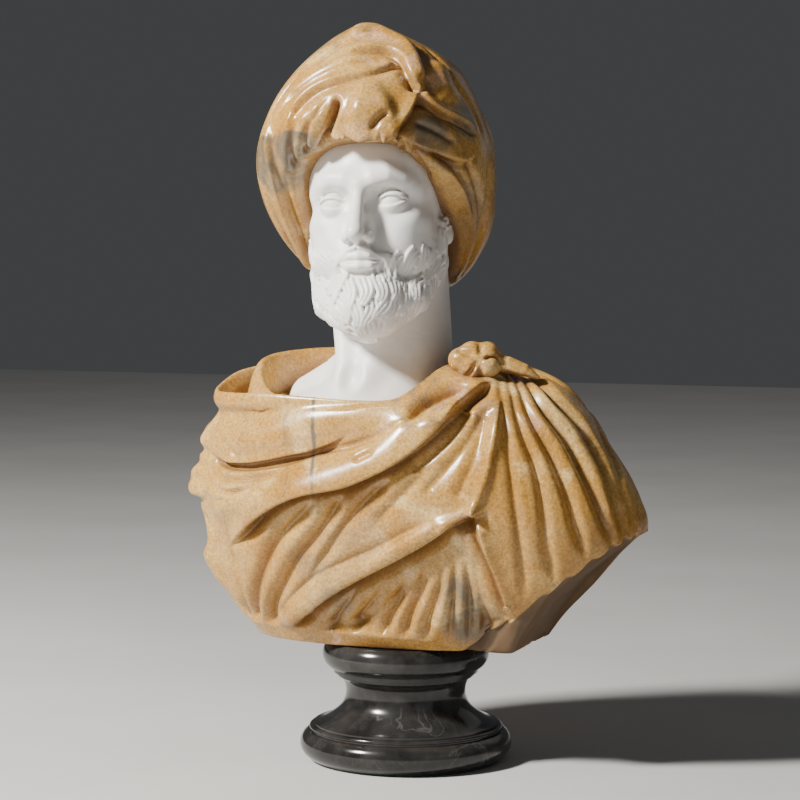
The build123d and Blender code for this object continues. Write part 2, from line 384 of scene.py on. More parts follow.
def make_ochre():
    r = Recipe("ochre_marble")
    flow = r.warped(7.0, 0.05)
    cloud = r.window(r.noise(9.0, 5.0, 0.6, 0.4, flow), 0.32, 0.68)
    colour = r.blend(cloud, (0.42, 0.21, 0.042), (0.62, 0.38, 0.115))
    honey = r.window(r.noise(16.0, 5.0, 0.6, 0.6, flow), 0.48, 0.66)
    colour = r.tint(colour, honey, 0.6, (0.50, 0.235, 0.040))
    pale = r.window(r.noise(13.0, 6.0, 0.62, 0.8, r.mapped(flow, (3.1, 1.7, 0.4))), 0.53, 0.70)
    colour = r.tint(colour, pale, 0.8, (0.74, 0.52, 0.215))
    rose = r.window(r.noise(19.0, 4.0, 0.6, 0.5, r.mapped(flow, (0.4, 5.2, 2.0))), 0.60, 0.72)
    colour = r.tint(colour, rose, 0.55, (0.72, 0.44, 0.29))
    dusk = r.window(r.noise(5.5, 4.0, 0.55, 0.9, r.mapped(flow, (8.0, 2.2, 5.0))), 0.57, 0.74)
    colour = r.tint(colour, dusk, 0.75, (0.21, 0.155, 0.105))
    veins = r.maths("MULTIPLY", r.vein(4.0, 0.010, 0.3, 4.0, flow), r.window(r.noise(8.0, 2.0), 0.42, 0.6))
    colour = r.tint(colour, veins, 0.45, (0.22, 0.17, 0.13))
    grains = r.window(r.noise(230.0, 3.0, 0.7), 0.55, 0.66)
    colour = r.tint(colour, grains, 0.5, (0.36, 0.16, 0.036))
    speckle = r.window(r.noise(330.0, 3.0, 0.7), 0.3, 0.72, 0.70, 1.22)
    grey = r.node("ShaderNodeCombineColor", 0, {0: speckle, 1: speckle, 2: speckle})
    colour = r.blend(1.0, colour, grey, "MULTIPLY")
    smoke = 0.0
    drift = r.warped(34.0, 0.014)
    height = r.node("ShaderNodeSeparateXYZ", 2, {0: drift})
    for place, radius, soft, top in SMOKE:
        below = r.window(height, top - 0.004, top, 1.0, 0.0)
        smoke = r.maths("MAXIMUM", smoke, r.maths("MULTIPLY", r.near(place, radius, soft, drift), below))
    smoke = r.maths("MULTIPLY", smoke, r.window(r.noise(38.0, 5.0, 0.65, 0.8), 0.3, 0.6, 0.45, 1.0))
    colour = r.tint(colour, smoke, 0.85, (0.115, 0.105, 0.082))
    bent = r.warped(26.0, 0.012)
    across = r.node("ShaderNodeVectorMath", 1, {0: bent, 1: VEIN_ACROSS}, operation="DOT_PRODUCT")
    for level, width, depth in VEINS:
        away = r.maths("ABSOLUTE", r.maths("SUBTRACT", across, level))
        line = r.window(away, width * 0.4, width * 2.2, 1.0, 0.0)
        line = r.maths("MULTIPLY", line, r.near(VEIN_MIDDLE, 0.04, 0.05))
        colour = r.tint(colour, line, depth, (0.10, 0.09, 0.085))
    # Painted shade: the creases and hollows of the drapery darkened to a warm brown.
    colour = r.painted_shade(colour, 0.03, 0.3, 0.68, (0.20, 0.095, 0.037))
    roughness = r.window(r.noise(40.0, 4.0), 0.3, 0.7, 0.17, 0.31)
    # The sawn face under the arm: rougher, being unpolished, and painted dark brown as painted shade, since
    # it faces down away from the light.
    sawn_shaded = r.node("ShaderNodeAttribute", "Fac", {}, attribute_name="unpolished_shaded")
    sawn_shade_colour = r.blend(r.noise(60.0, 5.0), (0.055, 0.030, 0.014), (0.12, 0.072, 0.036))
    colour = r.tint(colour, sawn_shaded, 0.92, sawn_shade_colour)
    roughness = r.maths("ADD", roughness, r.maths("MULTIPLY", sawn_shaded, 0.35))
    normal = r.bump(r.noise(55.0, 5.0, 0.6), 0.18, 0.002, r.bump(r.noise(700.0, 2.0), 0.12, 0.0004))
    return r.finish(colour, roughness, normal)


def make_white():
    r = Recipe("white_marble")
    flow = r.warped(9.0, 0.04)
    cloud = r.window(r.noise(12.0, 5.0, 0.6, 0.5, flow), 0.3, 0.7)
    colour = r.blend(cloud, (0.87, 0.85, 0.81), (0.94, 0.925, 0.90))
    smoke = r.vein(7.0, 0.03, 0.7, 5.0, flow)
    colour = r.tint(colour, smoke, 0.10, (0.45, 0.46, 0.48))
    warm = r.window(r.noise(22.0, 4.0), 0.5, 0.7)
    colour = r.tint(colour, warm, 0.25, (0.85, 0.76, 0.64))
    # Painted shade: the hollows of the face and beard darkened to a warm grey.
    colour = r.painted_shade(colour, 0.012, 0.2, 0.4, (0.50, 0.45, 0.38))
    roughness = r.window(r.noise(35.0, 4.0), 0.3, 0.7, 0.34, 0.48)
    normal = r.bump(r.noise(260.0, 4.0, 0.6), 0.12, 0.0006)
    return r.finish(colour, roughness, normal, Subsurface_Weight=0.06, Subsurface_Scale=0.006)


def make_black():
    r = Recipe("black_marble")
    flow = r.warped(12.0, 0.03)
    cloud = r.window(r.noise(14.0, 5.0, 0.6, 0.4, flow), 0.35, 0.7)
    colour = r.blend(cloud, (0.011, 0.0105, 0.010), (0.028, 0.027, 0.026))
    veins = r.maths("MULTIPLY", r.vein(11.0, 0.012, 0.8, 5.0, flow), r.window(r.noise(9.0, 2.0), 0.5, 0.66))
    colour = r.tint(colour, veins, 0.35, (0.16, 0.15, 0.14))
    shells = r.window(r.noise(130.0, 3.0, 0.7), 0.66, 0.74)
    colour = r.tint(colour, shells, 0.25, (0.07, 0.065, 0.06))
    dust = r.window(r.noise(60.0, 5.0, 0.7), 0.4, 0.7)
    roughness = r.window(r.noise(25.0, 5.0), 0.3, 0.7, 0.10, 0.20)
    colour = r.tint(colour, dust, 0.05, (0.3, 0.28, 0.26))
    normal = r.bump(r.noise(900.0, 2.0), 0.05, 0.0003)
    return r.finish(colour, roughness, normal)


def make_metal(name, dark, light, low, high, grain):
    r = Recipe(name)
    tarnish = r.window(r.noise(90.0, 5.0, 0.65), 0.35, 0.7)
    colour = r.blend(tarnish, dark, light)
    lines = r.noise(60.0, 3.0, 0.6, 0.0, r.mapped(r.point, stretch=grain))
    roughness = r.window(r.maths("ADD", lines, r.maths("MULTIPLY", tarnish, -0.3)), 0.1, 0.6, low, high)
    return r.finish(colour, roughness, r.bump(lines, 0.15, 0.0003), Metallic=1.0)


def make_felt():
    r = Recipe("felt")
    nap = r.noise(900.0, 4.0, 0.7)
    colour = r.blend(r.window(nap, 0.3, 0.7), (0.012, 0.03, 0.016), (0.03, 0.065, 0.035))
    worn = r.window(r.noise(25.0, 4.0), 0.5, 0.75)
    colour = r.tint(colour, worn, 0.4, (0.07, 0.09, 0.06))
    return r.finish(colour, 0.95, r.bump(nap, 0.6, 0.001), Sheen_Weight=0.3)


def make_slip():
    r = Recipe("slip_plastic")
    cloud = r.window(r.noise(30.0, 4.0), 0.3, 0.7)
    colour = r.blend(cloud, (0.05, 0.048, 0.045), (0.09, 0.085, 0.08))
    scuffs = r.noise(220.0, 4.0, 0.7)
    return r.finish(colour, r.window(scuffs, 0.3, 0.7, 0.4, 0.6), r.bump(scuffs, 0.2, 0.0004))


ochre = make_ochre()
white = make_white()
black = make_black()
steel = make_metal("steel", (0.32, 0.31, 0.30), (0.52, 0.52, 0.51), 0.25, 0.45, (1.0, 1.0, 14.0))
brass = make_metal("brass", (0.42, 0.28, 0.09), (0.66, 0.48, 0.19), 0.22, 0.42, (1.0, 1.0, 10.0))
felt = make_felt()
slip = make_slip()


# --- torso ------------------------------------------------------------------------------------------
BOTTOM = box_mm("torso")[0][2]
BORE = box_mm("rod_sleeve")

WIDEST = 300  # height of the section that the columns are spaced on
# Height, then reach to the right, left, front and back of the socle's axis.
TORSO_SECTIONS = np.array([
    (BOTTOM, 172, 160, 76, 92), (175, 205, 225, 104, 102), (230, 220, 262, 120, 108),
    (270, 230, 272, 127, 108), (310, 231, 258, 130, 106), (350, 222, 232, 127, 102),
    (390, 210, 205, 117, 96), (420, 196, 169, 105, 90), (440, 160, 115, 98, 86),
], float)
# The hollow under the stump of the left arm: a cylinder along Y, met from ARM_CUT_START outwards.
ARM_CUT_RADIUS = 250.0
ARM_CUT_AXIS = (372.0, 28.0)
ARM_CUT_START = 125
ARM_CUT_EASE = 5  # rounding of the edge between the flat underside and the hollow

# Column angle (0 front, 90 the sitter's left), then the place of the outer rim of the drapery.
OUTER_RIM = [
    (-180, -40, 74, 447), (-150, -95, 66, 445), (-130, -138, 46, 437), (-115, -172, 18, 428),
    (-100, -193, -12, 421), (-85, -201, -42, 409), (-70, -194, -66, 404), (-50, -165, -89, 403),
    (-30, -115, -105, 404), (-15, -65, -112, 402), (0, -15, -114, 400), (20, 32, -109, 404),
    (35, 52, -90, 419), (50, 68, -70, 433), (65, 80, -50, 439), (80, 78, -25, 440), (100, 66, 2, 440),
    (120, 48, 32, 443), (150, 8, 60, 446),
]
# The same for the collar inside it.
COLLAR = [
    (-180, -45, 64, 445), (-150, -95, 56, 446), (-130, -126, 37, 445), (-115, -145, 14, 443),
    (-100, -155, -8, 440), (-85, -157, -30, 434), (-70, -150, -52, 421), (-50, -128, -76, 404),
    (-30, -90, -92, 396), (-15, -55, -100, 394), (0, -22, -102, 392), (20, 18, -96, 396),
    (35, 38, -78, 411), (50, 54, -60, 425), (65, 64, -42, 433), (80, 64, -20, 436), (100, 55, 4, 437),
    (120, 37, 28, 441), (150, 0, 50, 444),
]
# Column angle, depth of the pocket between the two, and how far below the rim the wall ends.
POCKET = [
    (-180, 0, 12), (-150, 3, 12), (-130, 22, 18), (-115, 36, 26), (-100, 42, 27), (-85, 40, 27),
    (-70, 32, 27), (-50, 20, 24), (-30, 9, 18), (0, 4, 12), (35, 3, 25), (60, 2, 20), (90, 0, 11),
    (130, 0, 11),
]
# Column angle and height of the wall's lower edge, lifted over the stump of the left arm.
LOWER_EDGE = [
    (-180, BOTTOM), (34, BOTTOM), (36, 150), (39, 172), (42, 191), (45, 202), (48, 210), (52, 221),
    (60, 240), (71, 256), (85, 262), (97, 262), (108, 255), (118, 240), (124, 222), (128, 200),
    (131, 172), (135, 143), (140, BOTTOM), (170, BOTTOM),
]
SQUARENESS = 0.92  # of the torso's plan: 1 is an ellipse
COLUMNS = 640
FRONT_MIDDLE, FRONT_HALF = 10, 105  # column angles: the stretch where the columns lie close
BACK_SHARE = 0.55  # how many columns the rest gets for its length, to the front's 1
WALL_ROWS, BASE_ROWS = 210, 34
WALL = slice(1, WALL_ROWS - 3)  # the rows that are softened after carving
SCALLOP_DEPTH = 2.6  # of the sleeve's cut edge
ROLL = 9.5  # half the thickness of the rolled rim


def torso_wall(angle, z):
    """Points on the plain outer form at that column angle and height."""
    right, left, front, back = np.moveaxis(through(TORSO_SECTIONS[:, 0], TORSO_SECTIONS[:, 1:], z), -1, 0)
    turn = np.radians(angle)
    s, c = (np.sign(v) * np.abs(v) ** SQUARENESS for v in (np.sin(turn), np.cos(turn)))
    x = (left - right) / 2 + (left + right) / 2 * s
    y = (back - front) / 2 - (back + front) / 2 * c
    return np.stack([x, y, z + 0 * x], axis=-1)


def underside(x):
    """Height of the underside above a given x: flat, then hollowed under the stump of the left arm."""
    inside = ARM_CUT_RADIUS**2 - (np.clip(x, ARM_CUT_START, ARM_CUT_AXIS[0]) - ARM_CUT_AXIS[0]) ** 2
    rise = ARM_CUT_AXIS[1] + np.sqrt(inside) - BOTTOM + np.minimum(x - ARM_CUT_START, 0)
    return BOTTOM + (rise + np.hypot(rise, ARM_CUT_EASE)) / 2


def torso_angles():
    """Column angles, evenly spaced round a section near the widest but closer in front."""
    fine = np.linspace(-180, 180, 3601)
    ring = torso_wall(fine, np.full_like(fine, WIDEST))
    step = np.linalg.norm(np.diff(ring, axis=0), axis=1)
    middle = (fine[1:] + fine[:-1]) / 2
    step *= np.where(np.abs(middle - FRONT_MIDDLE) < FRONT_HALF, 1.0, BACK_SHARE)
    run = np.concatenate([[0], np.cumsum(step)])
    return np.interp(np.linspace(0, run[-1], COLUMNS, endpoint=False), run, fine)


def torso_grid():
    """The plain torso: up the wall, over the rim, down the pocket, over the collar and down inside it."""
    angle = torso_angles()
    low = np.maximum(BOTTOM, around(LOWER_EDGE, angle)[:, 0])
    scallops = smoothstep(38, 46, angle) * smoothstep(108, 96, angle)
    low += SCALLOP_DEPTH * scallops * np.sin(np.radians(51 * angle) + 0.8 * np.sin(np.radians(9 * angle)))
    rim, collar = around(OUTER_RIM, angle), around(COLLAR, angle)
    dip, margin = around(POCKET, angle).T
    top = rim[:, 2] - margin
    share = np.linspace(0, 1, 90)[:, None]
    heights = low + (top - low) * share
    body = torso_wall(np.broadcast_to(angle, heights.shape), heights)
    inward = collar - rim
    reach = np.linalg.norm(inward[:, :2], axis=1)[:, None]
    inward = np.where([True, True, False], inward, 0) / reach
    near = np.minimum(ROLL, 0.3 * reach)
    down = np.array([0, 0, 1.0])
    soft = near * np.clip(dip / 10, 0.25, 1)[:, None] * 1.1
    keys = np.array([
        body[-8],
        body[-1],
        rim - inward * near * 0.6 - down * soft * 1.2,
        rim,
        rim + inward * near * 0.9 - down * soft,
        (rim + collar) / 2 - down * dip[:, None] + inward * 2,
        collar - inward * near * 0.9 - down * soft,
        collar,
        collar + inward * 6 - down * 7,
        collar + inward * 11 - down * 24,
        collar + inward * 14 - down * 44,
    ])
    dense = through(np.arange(len(keys)), keys, np.linspace(1, len(keys) - 1, 241))
    rows = [spread(np.concatenate([body, dense[1:49]]), WALL_ROWS)]
    for start, stop, count in ((48, 97, 20), (96, 145, 22), (144, 241, 24)):
        rows.append(spread(dense[start:stop], count)[1:])
    return np.concatenate(rows)


def torso_underside(edge):
    """Rows from the top of the rod's hole, down it and out to the bottom edge, hollowed under the arm."""
    low, high = BORE
    centre, radius = (low[:2] + high[:2]) / 2, (high[0] - low[0]) / 2
    out = edge[:, :2] - centre
    hole = centre + out / np.linalg.norm(out, axis=1)[:, None] * radius
    share = (1 - (1 - np.linspace(0, 1, BASE_ROWS)) ** 1.15)[:-1, None, None]
    plan = hole * (1 - share) + edge[:, :2] * share
    z = underside(plan[..., 0])
    z += (edge[:, 2] - underside(edge[:, 0])) * smoothstep(0.75, 1, share[..., 0])
    under = np.concatenate([plan, z[..., None]], axis=2)
    bore = np.repeat(under[:1], 3, axis=0)
    bore[:, :, 2] = np.array([high[2] + 3, high[2] - 40, low[2] + 1])[:, None]
    return np.concatenate([bore, under])


# Seen from behind: the cloth is slung from the left shoulder down to the right.
BACK = 200
BACK_FORMS = [
    (roll(8), 40, (0.3, 0.4), [(-130, 404), (-60, 376), (30, 338), (100, 314), (150, 300)]),
    (roll(8), 42, (0.3, 0.4), [(-150, 330), (-80, 292), (20, 250), (90, 226), (140, 214)]),
]
BACK_FOLDS = [
    (lip(5, 12), 21, (0.25, 0.35), [(-120, 396), (-60, 362), (20, 322), (100, 290), (154, 276)]),
    (lip(4, 9), 17, (0.25, 0.35), [(-60, 424), (10, 392), (80, 358), (150, 336)]),
    (lip(5, 12), 21, (0.25, 0.35), [(-146, 324), (-90, 284), (-10, 240), (70, 208), (130, 194)]),
    (groove(8), 17, (0.3, 0.3), [(-64, 336), (10, 296), (80, 264), (136, 248)]),
    (groove(6), 15, (0.3, 0.1), [(-150, 250), (-110, 222), (-66, 184), (-30, 148), (-10, 118)]),
    (groove(7), 16, (0.3, 0.1), [(-90, 236), (-50, 206), (-6, 168), (30, 120)]),
    (groove(7), 16, (0.3, 0.1), [(-20, 216), (30, 186), (66, 150), (84, 118)]),
    (groove(6), 13, (0.25, 0.4), [(-76, 432), (-94, 392), (-106, 350), (-112, 312)]),
    (groove(6), 13, (0.3, 0.5), [(-84, 432), (-114, 400), (-138, 352), (-150, 306)]),
    (groove(5), 13, (0.3, 0.6), [(-92, 430), (-132, 404), (-162, 362), (-178, 322)]),
]


RIM_HOLLOW, HOLLOW_DROP, HOLLOW_HEIGHT = 8, 29, 13  # depth, distance below the rim, half height


def hollow_rim(grid):
    """Presses a soft hollow into the wall under the rolled rim."""
    angle = torso_angles()
    rim, collar = around(OUTER_RIM, angle), around(COLLAR, angle)
    inward = (collar - rim) * [1, 1, 0]
    inward /= np.linalg.norm(inward, axis=1)[:, None]
    depth = RIM_HOLLOW * np.clip(around(POCKET, angle)[:, 0] / 40, 0, 1)
    wall = grid[:WALL_ROWS]
    gap = (wall[..., 2] - rim[:, 2] + HOLLOW_DROP) / HOLLOW_HEIGHT
    wall += inward * (depth * np.exp(-(gap**2)))[..., None]
    softer = wall.copy()
    soften(softer, 30, slice(1, WALL_ROWS - 1))
    share = depth / RIM_HOLLOW * np.exp(-((gap / 1.6) ** 2))
    wall += (softer - wall) * share[..., None]


# Column angle, and how much the carving fades towards the bottom edge: not over the sleeve.
EDGE_FADE = [(-180, 1), (34, 1), (44, 0), (125, 0), (138, 1)]


def torso():
    stone = Stone(torso_grid())
    rows, angle = np.arange(len(stone.grid))[:, None], torso_angles()
    rolled = np.clip(around(POCKET, angle)[:, 0] / 30, 0, 1)
    stone.reach = smoothstep(0, 1, (WALL_ROWS - 2 - 12 * rolled - rows) / (7 + 10 * rolled))
    stone.reach *= 1 - 0.7 * around(EDGE_FADE, angle)[:, 0] * (1 - smoothstep(0, 24, rows))
    carve_torso(stone)
    hollow_rim(stone.grid)
    grid = np.concatenate([torso_underside(stone.grid[0]), stone.grid])
    poles = [(*(BORE[0] + BORE[1])[:2] / 2, BORE[1][2] + 3), grid[-1].mean(axis=0)]
    verts = np.concatenate([grid.reshape(-1, 3), poles])
    piece = carved("draped_torso", verts, grid_faces(grid), "torso", ochre)
    # Marks the sawn underside: the ochre material makes it rougher and paints it dark as painted shade.
    sawn_shaded = np.zeros(len(verts), np.float32)
    sawn_shaded[: (len(grid) - len(stone.grid)) * COLUMNS] = 1
    piece.data.attributes.new("unpolished_shaded", "FLOAT", "POINT").data.foreach_set("value", sawn_shaded)


FRONT = 20  # azimuth from which the folds of the front are laid out

# Each stroke: profile, width, fade at its two ends, places across and up (and strength).
FORMS = [
    # the two rolled bands from the right shoulder to the knot
    (roll(6), 30, (0.1, 0.3), [(-215, 358), (-160, 357), (-105, 374), (-50, 384), (0, 396), (30, 412)]),
    (roll(13), 36, (0.15, 0.2), [(-222, 292), (-173, 290), (-135, 302), (-98, 312), (-58, 326),
     (-22, 345), (4, 368), (30, 388), (62, 404)]),
    # hollow between the bands
    (groove(8), 30, (0.1, 0.3), [(-215, 330), (-180, 325), (-140, 330), (-96, 346), (-45, 358),
     (0, 380)]),
    # the under layer lies lower, below the hem
    (groove(12, 1.6), 52, (0.1, 0.1), [(66, 262, 0.8), (30, 222), (-15, 185), (-60, 150), (-90, 125)]),
    (groove(9, 1.6), 46, (0.3, 0.05), [(70, 255), (74, 210), (84, 160), (90, 120)]),
]
FOLDS = [
    # under the first band
    (lip(4, 9, 0.8), 10, (0.05, 0.25), [(-216, 339, 0.6), (-200, 329), (-183, 327), (-155, 331),
     (-131, 337), (-97, 346, 0.9), (-71, 358, 0.7), (-54, 373, 0.5)]),
    (groove(4), 7, (0.1, 0.4), [(-97, 345), (-70, 350), (-45, 358), (-17, 373), (15, 392)]),
    (groove(5), 8, (0.2, 0.3), [(-57, 339), (-45, 345), (-32, 352)]),
    (groove(7), 9, (0.3, 0.25), [(-203, 362), (-196, 346), (-186, 336), (-176, 334)]),
    # thin folds gathered over the right arm
    (lip(4, 7), 9, (0.1, 0.3), [(-217, 328), (-208, 320), (-194, 313), (-172, 314), (-146, 320),
     (-118, 331)]),
    (lip(4, 7), 9, (0.1, 0.3), [(-216, 312), (-208, 303), (-194, 299), (-177, 302), (-155, 309)]),
    (groove(6), 9, (0.1, 0.3), [(-222, 289), (-215, 284), (-203, 286), (-191, 292)]),
    (groove(10), 9, (0.2, 0.2), [(-222, 270), (-219, 256), (-211, 244), (-204, 240)]),
    # under the second band: the deepest fold
    (lip(7, 15, 0.9, 0.07), 19, (0.16, 0.05), [(-194, 230), (-187, 239), (-174, 254), (-152, 276),
     (-129, 291), (-106, 300), (-84, 305), (-61, 311), (-39, 321), (-16, 333), (6, 348), (28, 367),
     (47, 387), (62, 401), (78, 413), (92, 421)]),
    (groove(5), 7, (0.2, 0.2), [(-186, 236), (-152, 272), (-106, 296), (-61, 307), (-16, 329),
     (28, 363)]),
    # pocket by the knot
    (groove(13), 15, (0.3, 0.25), [(-6, 374), (8, 389), (25, 402), (48, 411), (72, 416)]),
    (roll(4), 12, (0.3, 0.3), [(8, 368), (24, 378), (42, 389), (64, 400)]),
    # rays running down to the left
    (groove(11, 2.4), 18, (0.12, 0.0), [(-94, 294), (-112, 277), (-134, 254), (-151, 226), (-162, 199),
     (-166, 177), (-167, 140)]),
    (groove(12, 2.4), 18, (0.12, 0.0), [(-64, 303), (-76, 286), (-97, 255), (-118, 228), (-134, 198),
     (-145, 170), (-148, 140)]),
    (groove(9, 2.4), 15, (0.15, 0.25), [(-12, 322), (-44, 294), (-69, 264), (-84, 240), (-104, 207)]),
    (groove(4), 14, (0.3, 0.4), [(32, 337), (13, 321), (-5, 302), (-28, 277), (-45, 255)]),
    (groove(6), 20, (0.2, 0.0), [(-190, 236), (-187, 212), (-182, 185), (-172, 145)]),
    # the hem panel: a flat roll with a sharp lower edge
    (roll(6), 14, (0.12, 0.1), [(62, 286), (40, 275), (6, 257), (-34, 232), (-62, 215), (-88, 198),
     (-108, 181), (-124, 162), (-128, 147)]),
    (lip(5, 17, 0.7), 20, (0.0, 0.0), [(-128, 146), (-112, 160), (-86, 184), (-52, 208), (-30, 221),
     (-6, 235), (31, 259), (54, 277), (68, 283)]),
    (groove(5), 11, (0.2, 0.1), [(38, 286), (8, 269), (-36, 243), (-68, 227), (-98, 210), (-122, 186),
     (-140, 158)]),
    # crest above the hem's corner and step below it
    (roll(6), 9, (0.35, 0.0), [(100, 412), (94, 384), (88, 354), (83, 328), (74, 303), (66, 286)]),
    (lip(5, 9, 1.0), 13, (0.0, 0.3), [(68, 281), (84, 235), (99, 198), (110, 165), (116, 140)]),
]
for path in (
    # pleats fanning out under the hem
    [(-49, 204), (-63, 180), (-77, 156), (-90, 132)],
    [(-20, 214), (-35, 184), (-52, 156), (-64, 130)],
    [(4, 228), (-6, 195), (-20, 163), (-32, 130)],
    [(22, 239), (15, 202), (1, 163), (-6, 128)],
    [(36, 246), (33, 202), (22, 163), (18, 128)],
    [(48, 252), (50, 209), (47, 163), (46, 126)],
    [(60, 246), (66, 202), (68, 163), (66, 124)],
    [(76, 205), (85, 163), (89, 122)],
):
    FOLDS.append((groove(9), 13, (0.45, 0.0), path))
for depth, width, path in (
    # pleats fanning out over the shoulder from the knot
    (5, 11, [(97, 428), (104, 364), (110, 311), (118, 250), (124, 190)]),
    (7, 11, [(103, 430), (120, 371), (133, 337), (141, 292), (145, 250), (156, 210)]),
    (9, 12, [(108, 432), (133, 379), (150, 348), (165, 311), (175, 273), (188, 235)]),
    (11, 13, [(112, 434), (144, 394), (169, 360), (190, 318), (205, 281), (218, 245)]),
    (11, 13, [(116, 436), (156, 405), (186, 371), (207, 333), (220, 296), (230, 250)]),
    (10, 13, [(121, 438), (163, 417), (197, 387), (215, 349, 0.9), (226, 311, 0.5), (238, 258, 0.3)]),
    (5, 16, [(80, 388), (60, 355), (38, 328), (16, 304)]),
    (4, 14, [(84, 396), (72, 350), (58, 315), (50, 298)]),
    (5, 12, [(66, 392), (44, 362), (24, 343), (4, 326)]),
):
    FOLDS.append((groove(depth, 1.8), width, (0.02, 0.12), path))


# Seen from the sitter's right: the same gathered folds carried round the arm.
ARM = -60
ARM_FORMS = [
    (roll(9), 26, (0.3, 0.3), [(-150, 320), (-118, 309), (-88, 302), (-60, 298), (-28, 300)]),
    (roll(7), 18, (0.3, 0.35), [(-150, 376), (-112, 362), (-80, 352), (-45, 347)]),
    (roll(8), 30, (0.3, 0.3), [(-140, 250), (-100, 235), (-70, 215), (-60, 180)]),
]
ARM_FOLDS = [
    (lip(5, 11), 15, (0.2, 0.3), [(-165, 392), (-128, 370), (-96, 353), (-66, 343), (-38, 337),
     (-14, 330)]),
    (lip(4, 8), 10, (0.2, 0.3), [(-168, 368), (-130, 346), (-98, 334), (-70, 328), (-44, 324),
     (-20, 316)]),
    (lip(4, 8), 10, (0.2, 0.3), [(-160, 337), (-125, 321), (-98, 312), (-74, 308), (-46, 307),
     (-24, 302)]),
    (lip(6, 13), 15, (0.2, 0.3), [(-170, 320), (-130, 300), (-100, 290), (-74, 285), (-50, 284),
     (-28, 286)]),
    (groove(8), 16, (0.2, 0.3), [(-160, 280), (-130, 262), (-98, 250), (-80, 238), (-70, 220)]),
    (groove(8), 16, (0.25, 0.1), [(-118, 236), (-90, 214), (-72, 190), (-58, 162), (-50, 140)]),
    (groove(7), 16, (0.25, 0.1), [(-160, 246), (-128, 214), (-104, 184), (-90, 154), (-84, 135)]),
    (groove(6), 15, (0.3, 0.1), [(-176, 232), (-156, 196), (-136, 160), (-126, 136)]),
    (groove(6), 12, (0.2, 0.4), [(-150, 408), (-128, 392), (-104, 380), (-80, 374)]),
]


# Where the folds end in soft bulges, at the two outlines seen from FRONT: places across from which
# the softening rises to its full share, and the same in height.
RIGHT_OUTLINE, RIGHT_HEIGHT = (-193, -207), (150, 190)
LEFT_OUTLINE, LEFT_HEIGHT, LEFT_TOP = (200, 216), (225, 245), (400, 370)
OUTLINE_ROUNDS = 22


def carve_torso(stone):
    for azimuth, strokes in ((ARM, ARM_FORMS), (FRONT, FORMS), (BACK, BACK_FORMS)):
        carve(stone, azimuth, strokes)
    stone.renew()
    for azimuth, strokes in ((ARM, ARM_FOLDS), (BACK, BACK_FOLDS), (FRONT, FOLDS)):
        carve(stone, azimuth, strokes)
    soften(stone.grid, 2, WALL)
    softer = stone.grid.copy()
    soften(softer, OUTLINE_ROUNDS, WALL)
    across, height = stone.grid @ facing(FRONT)[0], stone.grid[..., 2]
    left = smoothstep(*LEFT_OUTLINE, across) * smoothstep(*LEFT_HEIGHT, height)
    share = smoothstep(*RIGHT_OUTLINE, across) * smoothstep(*RIGHT_HEIGHT, height)
    share += left * smoothstep(*LEFT_TOP, height)
    stone.grid += (softer - stone.grid) * share[..., None]


# --- turban -----------------------------------------------------------------------------------------
# Height, centre in X and Y, half width, half depth.
TURBAN_SECTIONS = np.array([
    (490, -24, 38, 40, 30), (504, -24, 34, 62, 48), (520, -26, 28, 80, 66), (550, -29, 20, 104, 94),
    (580, -31, 14, 119, 114), (620, -35, 8, 128, 130), (660, -36, 4, 128, 138), (700, -36, 2, 115, 130),
    (730, -34, 2, 101, 114), (750, -32, 2, 87, 98), (770, -34, 0, 63, 74), (787, -38, -4, 35, 44),
    (800, -40, -6, 9, 14),
], float)
TURBAN_CENTRE = np.array([-33.0, 6, 640])
TURBAN_POLE = np.array([0.0, 0.8, 0.6])
# Angle round the face (0 the forehead, 90 the sitter's left), then the turban's edge on the head.
FACE_EDGE = [
    (-180, -24, 78, 507), (-160, -64, 64, 509), (-140, -90, 36, 516), (-120, -100, 8, 527),
    (-100, -101, -20, 545), (-80, -98, -44, 575), (-60, -93, -65, 612), (-45, -84, -86, 643),
    (-25, -60, -108, 668), (0, -24, -117, 677), (22, 12, -113, 678), (42, 34, -94, 670),
    (60, 47, -66, 642), (80, 56, -34, 604), (100, 60, -8, 578), (120, 56, 14, 552), (140, 46, 36, 527),
    (160, 18, 64, 512),
]
TURBAN_COLUMNS, TURBAN_ROWS = 480, 220
EDGE_ROWS = (15, 36)  # the rows between which the carving comes in above the turban's edge
EDGE_BULGE = math.radians(24)  # how far from its edge the turban takes to swell to its full form


def turban_radius(direction):
    """Distance from the turban's centre to its plain form, along unit vectors."""
    near, far = (np.full(direction.shape[:-1], reach) for reach in (20.0, 230.0))
    for _ in range(22):
        middle = (near + far) / 2
        p = TURBAN_CENTRE + direction * middle[..., None]
        sections = through(TURBAN_SECTIONS[:, 0], TURBAN_SECTIONS[:, 1:], p[..., 2])
        cx, cy, half_width, half_depth = np.moveaxis(sections, -1, 0)
        out = ((p[..., 0] - cx) / half_width) ** 2 + ((p[..., 1] - cy) / half_depth) ** 2 > 1
        out |= (p[..., 2] > TURBAN_SECTIONS[-1, 0]) | (p[..., 2] < TURBAN_SECTIONS[0, 0])
        near, far = np.where(out, near, middle), np.where(out, middle, far)
    return near


